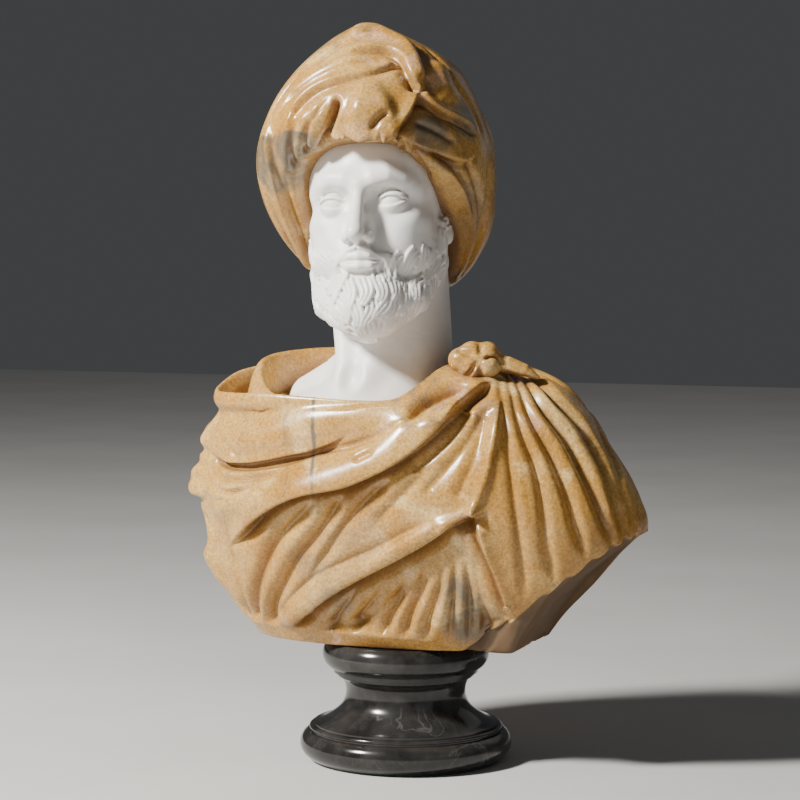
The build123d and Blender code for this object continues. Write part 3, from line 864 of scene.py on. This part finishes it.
def turban_grid():
    """The plain turban: from under its edge round the face, over the form to the pole behind the peak."""
    angle = np.linspace(-180, 180, TURBAN_COLUMNS, endpoint=False)
    edge = around(FACE_EDGE, angle)
    start = edge - TURBAN_CENTRE
    edge_radius = np.linalg.norm(start, axis=1)
    start /= edge_radius[:, None]
    sweep = np.arccos(np.clip(start @ TURBAN_POLE, -1, 1))
    share = np.linspace(0, 0.985, 200)[:, None]
    direction = np.sin((1 - share) * sweep)[..., None] * start
    direction += np.sin(share * sweep)[..., None] * TURBAN_POLE
    direction /= np.linalg.norm(direction, axis=2, keepdims=True)
    radius = turban_radius(direction)
    bulge = np.clip(share * sweep / EDGE_BULGE, 0, 1)
    radius = edge_radius + (radius - edge_radius) * np.sqrt(1 - (1 - bulge) ** 2)
    outer = TURBAN_CENTRE + direction * radius[..., None]
    inward = TURBAN_CENTRE - edge
    inward /= np.linalg.norm(inward, axis=1)[:, None]
    under = np.array([edge + inward * reach for reach in (60, 30, 12, 4)])
    return spread(np.concatenate([under, outer]), TURBAN_ROWS)


TURBAN_FORMS = [
    # the thick fold from the peak
    (roll(9), 17, (0.15, 0.1), [(-66, 780), (-51, 787), (-35, 789), (-19, 782), (-6, 775), (4, 761),
     (10, 745), (17, 728)]),
    # the broad puff over the forehead and the smaller ones beside it
    (roll(8), 36, (0.3, 0.3), [(-66, 706), (-38, 704), (-8, 712)]),
    (roll(5), 13, (0.05, 0.3), [(-98, 664), (-98, 684), (-92, 701), (-81, 714)]),
    (roll(4), 11, (0.05, 0.3), [(-113, 652), (-114, 674), (-110, 690), (-99, 708)]),
    (roll(3.5), 10, (0.05, 0.3), [(-127, 640), (-129, 666), (-124, 690), (-112, 708)]),
    # the broad fold right of the thick one
    (roll(6), 24, (0.3, 0.2), [(28, 760), (40, 730), (50, 708)]),
    # band round the forehead
    (roll(3), 9, (0.2, 0.2), [(-82, 676), (-58, 677), (-27, 678), (0, 680)]),
]
TURBAN_FOLDS = [
    # either side of the thick fold
    (lip(5, 11, 0.8), 15, (0.25, 0.05), [(-68, 766), (-39, 769), (-15, 766), (-4, 757), (1, 745),
     (8, 731), (14, 721)]),
    (groove(6), 11, (0.2, 0.3), [(8, 777), (16, 767), (20, 753), (22, 737), (28, 722), (40, 710)]),
    # crescents that rise to it
    (groove(6), 10, (0.2, 0.1), [(-138, 696), (-125, 718), (-107, 733), (-82, 746), (-51, 755),
     (-13, 759)]),
    (roll(4), 9, (0.2, 0.1), [(-129, 684), (-117, 708), (-98, 726), (-70, 737), (-39, 743), (-6, 755)]),
    (groove(7.5), 11, (0.2, 0.1), [(-125, 682), (-115, 704), (-94, 723), (-70, 732), (-38, 740),
     (-4, 752)]),
    # tucks over the forehead
    (groove(15), 8, (0.1, 0.0), [(-71, 717), (-75, 701), (-80, 686), (-87, 666)]),
    (groove(7), 8, (0.15, 0.25), [(-17, 701), (-28, 693), (-38, 680)]),
    (groove(8), 7, (0.35, 0.0), [(-78, 717), (-93, 703), (-103, 689), (-107, 675), (-104, 660)]),
    (groove(7), 7, (0.35, 0.0), [(-100, 713), (-112, 699), (-120, 682), (-122, 666), (-118, 646)]),
    (groove(6), 7, (0.35, 0.1), [(-116, 708), (-127, 695), (-135, 675), (-137, 658), (-132, 640)]),
    # the deep tuck beside the puff, and the fold that covers the flap
    (lip(5, 13, 0.8), 17, (0.1, 0.1), [(-21, 674), (-4, 688), (7, 704), (14, 721)]),
    (lip(5, 11, 0.8), 15, (0.05, 0.15), [(14, 719), (28, 708), (41, 700), (55, 694), (69, 686),
     (77, 678)]),
    (lip(4, 8, 0.8), 9, (0.2, 0.2), [(70, 648), (74, 662), (73, 676)]),
    (lip(5, 9, 0.7), 12, (0.1, 0.05), [(5, 668), (20, 662), (41, 653), (59, 649), (71, 650)]),
    (groove(6), 8, (0.1, 0.2), [(9, 691), (32, 681), (55, 667)]),
    (groove(3), 6, (0.2, 0.2), [(20, 702), (42, 692), (64, 676)]),
    # long crease down the right
    (groove(7), 8, (0.2, 0.2), [(16, 776), (34, 760), (52, 736), (70, 710), (79, 690), (84, 664)]),
    # bands behind the temple
    (lip(4, 9, 0.8), 15, (0.25, 0.15), [(72, 588), (67, 610), (57, 630), (41, 647), (20, 660)]),
    (groove(6), 12, (0.2, 0.3), [(62, 668), (71, 637), (79, 614), (81, 590), (76, 560)]),
    (groove(5), 12, (0.3, 0.1), [(85, 669), (89, 630), (85, 590), (75, 551), (59, 516)]),
    (groove(4), 10, (0.3, 0.1), [(60, 600), (66, 572), (63, 545), (50, 518)]),
    # down the other side to the nape
    (lip(4, 7, 0.9), 15, (0.1, 0.2), [(-101, 528), (-113, 559), (-129, 598), (-140, 637), (-146, 680),
     (-142, 708)]),
    (groove(6), 10, (0.2, 0.1), [(-154, 669), (-155, 639), (-147, 604), (-134, 575), (-117, 543)]),
    (groove(4), 9, (0.2, 0.1), [(-128, 640), (-126, 610), (-115, 575), (-104, 545)]),
    # streaks at the top left
    (groove(5), 9, (0.15, 0.2), [(-55, 786), (-88, 766), (-113, 748), (-133, 724), (-144, 700)]),
    (groove(5), 9, (0.2, 0.2), [(-70, 768), (-98, 756), (-121, 738), (-139, 714), (-150, 690)]),
]


# The windings over its back and down its two sides, by the direction they are seen from.
WINDINGS = {
    200: [
        (lip(4, 9), 15, (0.25, 0.25), [(-122, 640), (-88, 690), (-40, 728), (16, 750), (64, 750)]),
        (lip(4, 9), 16, (0.25, 0.25), [(-122, 588), (-80, 640), (-20, 684), (50, 710), (104, 704)]),
        (lip(4, 9), 16, (0.25, 0.25), [(-106, 540), (-60, 586), (0, 626), (66, 656), (122, 656)]),
        (lip(4, 9), 15, (0.25, 0.25), [(-70, 516), (-24, 548), (36, 582), (90, 604), (122, 608)]),
        (groove(5), 12, (0.3, 0.3), [(-112, 618), (-70, 664), (-10, 706), (50, 730)]),
        (groove(5), 12, (0.3, 0.3), [(-90, 568), (-36, 612), (30, 648), (96, 670)]),
        (groove(5), 12, (0.3, 0.3), [(-26, 524), (20, 550), (70, 572), (108, 580)]),
    ],
    -70: [
        (lip(3, 7), 15, (0.3, 0.4), [(-92, 704), (-66, 718), (-40, 724), (-12, 722)]),
        (lip(3, 7), 15, (0.3, 0.4), [(-106, 638), (-76, 654), (-46, 662), (-14, 660)]),
        (lip(3, 7), 15, (0.3, 0.4), [(-100, 584), (-70, 598), (-42, 604), (-12, 602)]),
        (groove(4), 12, (0.3, 0.4), [(-100, 672), (-74, 686), (-46, 694), (-16, 694)]),
    ],
}


def turban():
    stone = Stone(turban_grid())
    stone.reach *= smoothstep(*EDGE_ROWS, np.arange(TURBAN_ROWS))[:, None]
    carve(stone, FRONT, TURBAN_FORMS)
    stone.renew()
    carve(stone, FRONT, TURBAN_FOLDS)
    for azimuth, strokes in WINDINGS.items():
        carve(stone, azimuth, strokes)
    soften(stone.grid, 2)
    verts = np.concatenate([stone.grid.reshape(-1, 3), stone.grid[[0, -1]].mean(axis=1)])
    carved("wound_turban", verts, grid_faces(stone.grid), "turban", ochre)


# --- modelling in clay: blended solids on a voxel grid ----------------------------------------------
class Clay:
    """A distance field on a grid, negative inside."""

    def __init__(self, low, high, step):
        self.low, self.step = np.array(low, float), step
        counts = np.ceil((np.array(high) - low) / step).astype(int) + 1
        self.axes = [self.low[k] + step * np.arange(counts[k]) for k in range(3)]
        self.field = np.full(counts, 1e3, np.float32)

    def window(self, low, high, margin):
        cut = []
        for k, axis in enumerate(self.axes):
            start, stop = np.searchsorted(axis, [low[k] - margin, high[k] + margin])
            cut.append(slice(start, stop))
        x, y, z = (axis[part].astype(np.float32) for axis, part in zip(self.axes, cut))
        return tuple(cut), x[:, None, None], y[None, :, None], z[None, None, :]

    def add(self, shape, blend=4.0):
        low, high, distance = shape
        cut, x, y, z = self.window(low, high, blend + 2 * self.step)
        if 0 not in self.field[cut].shape:
            self.field[cut] = smooth_min(self.field[cut], distance(x, y, z), blend)

    def remove(self, shape, blend=4.0):
        low, high, distance = shape
        cut, x, y, z = self.window(low, high, blend + 2 * self.step)
        if 0 not in self.field[cut].shape:
            self.field[cut] = -smooth_min(-self.field[cut], distance(x, y, z), blend)

    def level(self, p):
        """The field at points (n, 3), between the grid's own values."""
        at = np.clip((p - self.low) / self.step, 0, np.array(self.field.shape) - 1.001)
        cell = at.astype(int)
        share = at - cell
        total = np.zeros(len(p))
        for i in (0, 1):
            for j in (0, 1):
                for k in (0, 1):
                    weight = np.prod(np.abs(share - [1 - i, 1 - j, 1 - k]), axis=1)
                    total += weight * self.field[cell[:, 0] + i, cell[:, 1] + j, cell[:, 2] + k]
        return total

    def slope(self, p):
        steps = np.eye(3) * 1.5
        slope = np.stack([self.level(p + s) - self.level(p - s) for s in steps], axis=1)
        return slope / np.maximum(np.linalg.norm(slope, axis=1, keepdims=True), 1e-9)

    def drop(self, p):
        """Brings points near the surface onto it."""
        for _ in range(3):
            p = p - self.level(p)[:, None] * self.slope(p)
        return p

    def skin(self):
        """Vertices and quads of the surface."""
        field, inside = self.field, self.field < 0
        corners = [(i, j, k) for i in (0, 1) for j in (0, 1) for k in (0, 1)]
        size = np.array(field.shape) - 1
        view = [tuple(slice(o, o + n) for o, n in zip(c, size)) for c in corners]
        count = sum(inside[v].astype(np.int8) for v in view)
        active = (count > 0) & (count < 8)
        cell = np.argwhere(active)
        number = np.full(active.shape, -1, np.int32)
        number[active] = np.arange(len(cell))
        values = np.stack([field[tuple((cell + c).T)] for c in corners], axis=1)
        total, crossings = np.zeros((len(cell), 3)), np.zeros(len(cell))
        for a in range(8):
            for b in range(a + 1, 8):
                if sum(abs(p - q) for p, q in zip(corners[a], corners[b])) != 1:
                    continue
                crossed = (values[:, a] < 0) != (values[:, b] < 0)
                va, vb = values[crossed, a], values[crossed, b]
                t = (va / (va - vb))[:, None]
                total[crossed] += np.array(corners[a]) + t * (np.array(corners[b]) - corners[a])
                crossings[crossed] += 1
        verts = self.low + self.step * (cell + total / crossings[:, None])
        quads = []
        for axis in range(3):
            second, third = (axis + 1) % 3, (axis + 2) % 3
            front = [slice(1, -1)] * 3
            back = [slice(1, -1)] * 3
            front[axis], back[axis] = slice(0, -1), slice(1, None)
            low, high = inside[tuple(front)], inside[tuple(back)]
            at = np.argwhere(low != high)
            leaving = low[tuple(at.T)]
            at += np.array([0 if k == axis else 1 for k in range(3)])
            ring = []
            for p, q in ((-1, -1), (0, -1), (0, 0), (-1, 0)):
                near = at.copy()
                near[:, second] += p
                near[:, third] += q
                ring.append(number[tuple(near.T)])
            quad = np.stack(ring, axis=1)
            quad[~leaving] = quad[~leaving][:, ::-1]
            quads.append(quad)
        return verts, np.concatenate(quads)


def smooth_min(a, b, blend):
    h = np.clip(0.5 + 0.5 * (b - a) / blend, 0, 1)
    return b + (a - b) * h - blend * h * (1 - h)


def ball(centre, radii):
    """An ellipsoid, as (lowest corner, highest corner, distance function)."""
    c, r = np.array(centre, float), np.broadcast_to(np.array(radii, float), 3)

    def distance(x, y, z):
        u, v, w = (x - c[0]) / r[0], (y - c[1]) / r[1], (z - c[2]) / r[2]
        near = np.sqrt(u * u + v * v + w * w)
        slope = np.sqrt((u / r[0]) ** 2 + (v / r[1]) ** 2 + (w / r[2]) ** 2)
        return near * (near - 1) / np.maximum(slope, 1e-6)

    return c - r, c + r, distance


def limb(points, radii):
    """A tapering tube through points."""
    p, r = np.array(points, float), np.broadcast_to(np.array(radii, float), len(points))

    def distance(x, y, z):
        made = None
        for k in range(len(p) - 1):
            run = p[k + 1] - p[k]
            gx, gy, gz = x - p[k, 0], y - p[k, 1], z - p[k, 2]
            t = np.clip((gx * run[0] + gy * run[1] + gz * run[2]) / (run @ run), 0, 1)
            off = (gx - t * run[0]) ** 2 + (gy - t * run[1]) ** 2 + (gz - t * run[2]) ** 2
            d = np.sqrt(off) - (r[k] + t * (r[k + 1] - r[k]))
            made = d if made is None else np.minimum(made, d)
        return made

    return p.min(0) - r.max(), p.max(0) + r.max(), distance


def both(points):
    """The same points on the sitter's left and right."""
    for side in (1, -1):
        yield [(side * x, y, z) for x, y, z in points]


# --- head: its own frame has the eyes' level at 0, the face towards -Y -------------------------------
HEAD_PLACE = np.array([-24.0, -10, 599])
HEAD_TURN, HEAD_NOD, HEAD_TILT = (math.radians(a) for a in (5, -6, -3.5))
HEAD_STEP = 1.25
EYE = np.array([31.5, -70.5, -1.0])
EYE_RADIUS = 14.5


def head_matrix():
    turn = Matrix.Rotation(HEAD_TURN, 3, "Z") @ Matrix.Rotation(HEAD_NOD, 3, "X")
    return np.array(turn @ Matrix.Rotation(HEAD_TILT, 3, "Y"))


def to_head(point):
    return tuple(head_matrix().T @ (np.array(point, float) - HEAD_PLACE))


def eyelid(side, radius, edge, above):
    """Part of a sphere on one side of the lid's edge, which arches to a height edge."""
    c = EYE * [side, 1, 1]

    def distance(x, y, z):
        shell = np.sqrt((x - c[0]) ** 2 + (y - c[1]) ** 2 + (z - c[2]) ** 2) - radius
        across = (x - c[0]) / 16.5
        line = c[2] + edge * (1 - across * across) + 1.4 * side * across
        cut = (line - z) if above else (z - line)
        return -smooth_min(-shell, -cut, 1.2)

    return c - radius, c + radius, distance


def skull(clay):
    clay.add(ball((0, 10, 30), (75, 92, 86)), 40)
    clay.add(ball((0, -30, 28), (64, 58, 60)), 30)
    clay.add(ball((0, -26, -38), (57, 56, 74)), 24)
    clay.add(ball((0, -70, -96), (25, 22, 20)), 18)
    for jaw in both([(55, 2, -56), (20, -66, -102)]):
        clay.add(limb(jaw, (13, 15)), 16)


def face(clay):
    for side in (1, -1):
        clay.add(ball((side * 44, -54, -22), (19, 22, 15)), 20)
        clay.add(ball((side * 29, -64, -48), (22, 20, 26)), 16)
        clay.add(ball((side * 46, -36, -50), (19, 30, 30)), 18)
    clay.add(ball((0, -70, -62), (29, 25, 27)), 14)
    for brow in both([(5, -88, 18), (16, -90, 23), (30, -87, 25), (43, -77, 21), (54, -60, 11)]):
        clay.add(limb(brow, (7, 7.5, 7.5, 7, 5)), 14)
    for side in (1, -1):
        clay.remove(ball((side * 33, -97, 1), (19, 17, 13)), 7)
        clay.remove(ball((side * 16, -95, 1), (6.5, 12, 10)), 7)
    for side in (1, -1):
        clay.add(ball(EYE * [side, 1, 1], EYE_RADIUS), 1.2)
        clay.add(eyelid(side, EYE_RADIUS + 3.0, 5.6, True), 1.6)
        clay.add(eyelid(side, EYE_RADIUS + 2.3, -5.0, False), 1.8)
        crease = [(side * 18, -80, 5), (side * 27, -85, 11), (side * 37, -82, 11), (side * 47, -72, 5)]
        clay.remove(limb(crease, (0.5, 0.9, 0.9, 0.5)), 3.5)
    nose(clay)
    mouth(clay)
    for side in (1, -1):
        ear(clay, side)


def nose(clay):
    clay.add(ball((0, -90, -30), (14, 15, 19)), 10)
    clay.add(limb([(0, -90, 15), (0, -96, 1), (0, -110, -29)], (7, 6.6, 8.2)), 6)
    clay.add(ball((0, -112, -35), (9.5, 10, 8.5)), 4)
    for side in (1, -1):
        clay.add(ball((side * 11.8, -100, -39), (6.3, 9.5, 7.2)), 4.5)
    clay.add(limb([(0, -111, -41), (0, -96, -46)], (4.4, 5)), 3)
    for side in (1, -1):
        clay.remove(ball((side * 6.6, -104, -47), (3.6, 6, 4)), 1.5)


def mouth(clay):
    for lip in both([(0, -99.5, -59.5), (10, -98.5, -59), (24, -88, -62.5)]):
        clay.add(limb(lip, (4.6, 4.4, 1.8)), 2)
    for lip in both([(0, -97.5, -69.5), (11, -96.5, -69), (23, -88, -64.5)]):
        clay.add(limb(lip, (6.2, 5.6, 1.8)), 2)
    for line in both([(0, -104.2, -63.8), (10, -102, -63.2), (26, -91, -64)]):
        clay.remove(limb(line, (1.4, 1.4, 1.2)), 1.5)
    clay.add(ball((0, -97, -52), (12, 6, 6)), 5)
    clay.remove(ball((0, -100, -82), (15, 8, 6)), 8)


def ear(clay, side):
    def at(points):
        return [(side * x, y, z) for x, y, z in points]

    clay.add(ball((side * 73, 8, -4), (8, 17, 29)), 7)
    clay.add(ball((side * 71, 0, -33), (7, 9, 9)), 5)
    clay.remove(ball((side * 83, 6, -3), (7, 10, 17)), 3)
    rim = [(74, -9, -6), (78, -12, 6), (81, -7, 18), (83, 4, 25), (84, 15, 21), (84, 22, 10), (82, 22, -4),
           (78, 17, -18), (74, 10, -28)]
    rim = through(np.arange(9), rim, np.linspace(0, 8, 25))
    clay.add(limb(at(rim), 2.7), 2)
    clay.add(limb(at([(80, 4, 12), (80.5, 11, 7), (80, 13, 0), (78, 10, -14)]), 2.0), 2)
    clay.add(ball((side * 77, -8, -10), (4, 4, 6)), 3)


# World places: the neck, the carved chest inset in the collar, and the pit of the neck.
NECK_LINE = [(-11, -3, 425), (-16, 9, 560)]
NECK_RADII = (64, 56)
CHEST_CENTRE = (-42, -17, 378)
CHEST_RADII = (98, 86, 36)
PIT_OF_NECK = (-34, -82, 412)


def neck_and_chest(clay):
    clay.add(limb([to_head(p) for p in NECK_LINE], NECK_RADII), 14)
    clay.add(ball(to_head(CHEST_CENTRE), CHEST_RADII), 34)
    x, y, z = PIT_OF_NECK
    for side in (1, -1):
        clay.add(limb([to_head((x + 8 * side, y + 8, z)), (side * 52, 4, -62)], (5, 7)), 26)
    clay.add(limb([to_head((-30, 34, 442)), to_head((-112, 2, 398))], (30, 20)), 24)
    clay.remove(ball(to_head((x, y - 2, z + 12)), (9, 9, 13)), 12)


# Degrees from the middle of the face and the height at which the beard begins.
BEARD_BORDER = [
    (0, -82), (14, -82), (22, -68), (32, -58), (50, -52), (70, -46), (88, -32), (104, -18), (125, -14),
]
BEARD_ROWS = (56, 40, 21, 2)  # how far below the border each row of clumps starts, in front
CLUMP_SPACING = 13  # degrees
FLOW_STEPS = 11
STRANDS = 3
STRAND_GAP = 5.5
STRAND_RADIUS = 2.8
STRAND_BLEND = 0.4
TIP_LIFT = 3.0  # how far the strands' tips stand off the clay


def clump_roots():
    """Degrees and height at which each clump starts, and its length; lowest first."""
    roots = []
    for row, drop in enumerate(BEARD_ROWS):
        for angle in np.arange(-108 + CLUMP_SPACING / 2 * (row % 2), 109, CLUMP_SPACING):
            a = angle + RANDOM.uniform(-2, 2)
            border = np.interp(abs(a), *zip(*BEARD_BORDER))
            z = border - drop * (0.75 + 0.25 * math.cos(math.radians(a))) + RANDOM.uniform(-2, 2)
            roots.append((a, z, RANDOM.uniform(33, 42)))
    return np.array(roots)


def cast(clay, degrees, height):
    """Points on the clay seen from all round the jaw."""
    a = np.radians(degrees)
    reach = np.linspace(125, 8, 235)
    x, y = np.sin(a)[:, None] * reach, -30 - np.cos(a)[:, None] * reach
    p = np.stack([x, y, np.broadcast_to(height[:, None], x.shape)], axis=2)
    inside = clay.level(p.reshape(-1, 3)).reshape(x.shape) < 0
    return p[np.arange(len(p)), inside.argmax(axis=1)]


def flow(clay, p, lengths, bend, phase):
    """Paths that fall over the clay in waves."""
    path = [p]
    for step in range(FLOW_STEPS - 1):
        n = clay.slope(p)
        inward = -0.35 * np.clip(p[:, 0] / 45, -1, 1)
        forward = -0.45 * np.clip(np.abs(p[:, 0]) / 45, 0, 1)
        fall = np.stack([inward, forward, np.full(len(p), -1.0)], axis=1)
        fall -= np.einsum("ij,ij->i", fall, n)[:, None] * n
        fall /= np.maximum(np.linalg.norm(fall, axis=1, keepdims=True), 0.2)
        wave = bend * np.sin(phase + step * 6.0 / FLOW_STEPS)
        p = clay.drop(p + lengths[:, None] / FLOW_STEPS * (fall + wave[:, None] * np.cross(n, fall)))
        path.append(p)
    return np.array(path)


def clumps(clay, p, lengths, bend, phase):
    """Locks of parallel strands that draw together at their tips: the path and the radii of each strand."""
    path = flow(clay, p, lengths, bend, phase)
    share = np.linspace(0, 1, FLOW_STEPS)
    gap = STRAND_GAP * (1 - 0.6 * share**2)
    lift = TIP_LIFT * share**1.5 + 0.2
    girth = STRAND_RADIUS * np.sqrt(np.sin(math.pi * (0.2 + 0.74 * share)))
    for k in range(len(p)):
        line = path[:, k]
        n = clay.slope(line)
        across = np.cross(n, np.gradient(line, axis=0))
        across /= np.maximum(np.linalg.norm(across, axis=1, keepdims=True), 1e-9)
        for strand in range(STRANDS):
            side = strand - (STRANDS - 1) / 2
            end = FLOW_STEPS - RANDOM.integers(0, 3)
            place = line + across * (side * gap)[:, None] + n * lift[:, None]
            yield place[:end], girth[:end] * (1 - 0.07 * abs(side))


JAW_LINE = np.array([(70, -16, -22), (60, -24, -66), (40, -54, -102), (0, -72, -110)])
BEARD_BLEND = 9


def beard(clay):
    """The mass of the beard, then its clumps on top."""
    for side in (1, -1):
        clay.add(limb(JAW_LINE * (side, 1, 1), (5, 11, 20, 28)), BEARD_BLEND)
    clay.add(ball((0, -64, -108), (44, 36, 36)), BEARD_BLEND)
    clay.add(ball((0, -72, -96), (33, 26, 25)), BEARD_BLEND)
    roots = clump_roots()
    p = cast(clay, roots[:, 0], roots[:, 1])
    a = np.radians(roots[:, 0])
    phase = 1.3 * np.sin(2.6 * a + roots[:, 1] / 19) + RANDOM.uniform(-0.5, 0.5, len(a))
    bend = RANDOM.uniform(0.35, 0.6, len(a))
    for line, girth in list(clumps(clay, p, roots[:, 2], bend, phase)):
        clay.add(limb(line, girth), STRAND_BLEND)


def moustache(clay):
    laid = []
    for side in (1, -1):
        for k in range(6):
            t = k / 5
            keys = np.array(
                [(2.5 + 9 * t, -104, -50 - 1.5 * t), (14 + 9 * t, -99, -54 + 0.8 * t),
                 (26 + 8 * t, -90, -63 + 4 * t), (30 + 9 * t, -84, -86 + 8 * t)]
            )
            line = through(np.arange(4), keys, np.linspace(0, 3, 12))
            line[:, 0] = side * (line[:, 0] + 0.8 * np.sin(np.linspace(0, 5, 12) + k))
            laid.append((clay.drop(line), np.linspace(2.5, 1.5, 12)))
    for line, girth in laid:
        clay.add(limb(line, girth), STRAND_BLEND)


def head():
    clay = Clay((-134, -132, -270), (110, 124, 124), HEAD_STEP)
    skull(clay)
    neck_and_chest(clay)
    face(clay)
    beard(clay)
    moustache(clay)
    verts, quads = clay.skin()
    verts = verts @ head_matrix().T + HEAD_PLACE
    carved("carved_head", verts, quads.tolist(), "head", white)


# --- shoulder knot ----------------------------------------------------------------------------------
KNOT_PLACE = np.array([98.0, -54, 440])
KNOT_STEP = 0.9
# Places on the knot, as on_knot takes them; each lobe's with its radius.
LOBES = [
    (-16, 2, 5, 13.5), (-4, -6, 8, 14.5), (12, -5, 8, 14), (-4, 9, 1, 13), (12, 9, 0, 12.5),
    (21, 2, -5, 10),
]
CREASES = [(-10, -15, 17), (5, -17, 18), (-18, 12, 12), (5, 19, 9), (21, 3, 11)]
HEART = (4, 5, 22)  # where the creases meet
# The tail that runs off along the shoulder, in the frame's own axes.
TAIL = [(114, -44, 436), (130, -42, 436), (146, -38, 431), (160, -34, 423)]
TAIL_CREASE = [(118, -56, 440), (136, -52, 438), (154, -44, 430)]


def on_knot(across, up, towards):
    """A place on the knot: along the shoulder, up and towards the front, from its middle."""
    right, front = facing(FRONT)
    return KNOT_PLACE + across * right + towards * front + np.array([0, 0, up])


def knot():
    clay = Clay((48, -96, 398), (186, 2, 476), KNOT_STEP)
    clay.add(ball(KNOT_PLACE, (25, 19, 15)), 12)
    for across, up, towards, radius in LOBES:
        clay.add(ball(on_knot(across, up, towards), (radius, radius, radius * 0.95)), 5)
    for across, up, towards in CREASES:
        middle = on_knot((across + HEART[0]) / 2, (up + HEART[1]) / 2, towards + 4)
        clay.remove(limb([on_knot(*HEART), middle, on_knot(across, up, towards)], (1.0, 2.2, 2.0)), 4)
    clay.add(limb(TAIL, (9, 9, 7, 2.5)), 6)
    clay.remove(limb(TAIL_CREASE, (2, 2.5, 1)), 5)
    verts, quads = clay.skin()
    carved("tied_knot", verts, quads.tolist(), "shoulder_knot", ochre)


turban()
head()
torso()
knot()


# --- socle and fittings: the CAD shapes as they are, with their materials ----------------------------
FITTINGS = {
    black: ("socle_base", "socle_waist", "socle_cap"),
    steel: ("mounting_rod", "lower_washer", "lower_nut", "upper_washer", "upper_nut", "neck_pins",
            "turban_pins", "knot_pin"),
    brass: ("rod_sleeve",),
    felt: ("felt_pad",),
    slip: ("slip_disc",),
}
for material, nodes in FITTINGS.items():
    for node in nodes:
        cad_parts[node].data.materials.clear()
        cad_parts[node].data.materials.append(material)


# --- stage ------------------------------------------------------------------------------------------
def make_floor():
    r = Recipe("floor")
    tint = r.window(r.noise(3.0, 3.0), 0.3, 0.7)
    colour = r.blend(tint, (0.60, 0.59, 0.58), (0.64, 0.63, 0.62))
    return r.finish(colour, 0.7)


def floor():
    bpy.ops.mesh.primitive_plane_add(size=12, location=(0, 0, 0))
    ground = bpy.context.object
    ground.name = "floor"
    ground.data.materials.append(make_floor())


LIGHT_AIM = Vector((0, 0, 0.45))
LIGHTS = [  # name, place, size, watts, colour
    ("key", (-1.62, -1.84, 2.2), 0.42, 255, (1, 0.97, 0.92)),
    ("fill", (2.2, -1.6, 1.0), 1.8, 2.5, (0.9, 0.95, 1)),
    ("back", (0.8, 2.0, 1.6), 1.5, 1.2, (1, 1, 1)),
]
SKY = (0.75, 0.77, 0.8, 1)
SKY_STRENGTH = 0.075


def area_light(name, place, size, watts, colour):
    data = bpy.data.lights.new(name, "AREA")
    data.size, data.energy, data.color = size, watts, colour
    light = bpy.data.objects.new(name, data)
    light.location = place
    light.rotation_euler = (LIGHT_AIM - Vector(place)).to_track_quat("-Z", "Y").to_euler()
    bpy.context.scene.collection.objects.link(light)


def sky():
    world = bpy.data.worlds.new("world")
    bpy.context.scene.world = world
    world.use_nodes = True
    background = world.node_tree.nodes["Background"]
    background.inputs["Color"].default_value = SKY
    background.inputs["Strength"].default_value = SKY_STRENGTH


CAMERA_AZIMUTH = 20
CAMERA_DISTANCE = 2.821
CAMERA_SHIFT = 0.0064  # to the left
CAMERA_HEIGHT = 0.600
CAMERA_PITCH = 4.2  # degrees downwards
CAMERA_LENS = 117


def camera():
    data = bpy.data.cameras.new("camera")
    data.lens, data.sensor_width = CAMERA_LENS, 36
    cam = bpy.data.objects.new("camera", data)
    right, towards = (Vector(v) for v in facing(CAMERA_AZIMUTH))
    cam.location = towards * CAMERA_DISTANCE - right * CAMERA_SHIFT + Vector((0, 0, CAMERA_HEIGHT))
    pitch = math.radians(CAMERA_PITCH)
    aim = -towards * math.cos(pitch) - Vector((0, 0, math.sin(pitch)))
    cam.rotation_euler = aim.to_track_quat("-Z", "Y").to_euler()
    bpy.context.scene.collection.objects.link(cam)
    bpy.context.scene.camera = cam


floor()
for light in LIGHTS:
    area_light(*light)
sky()
camera()
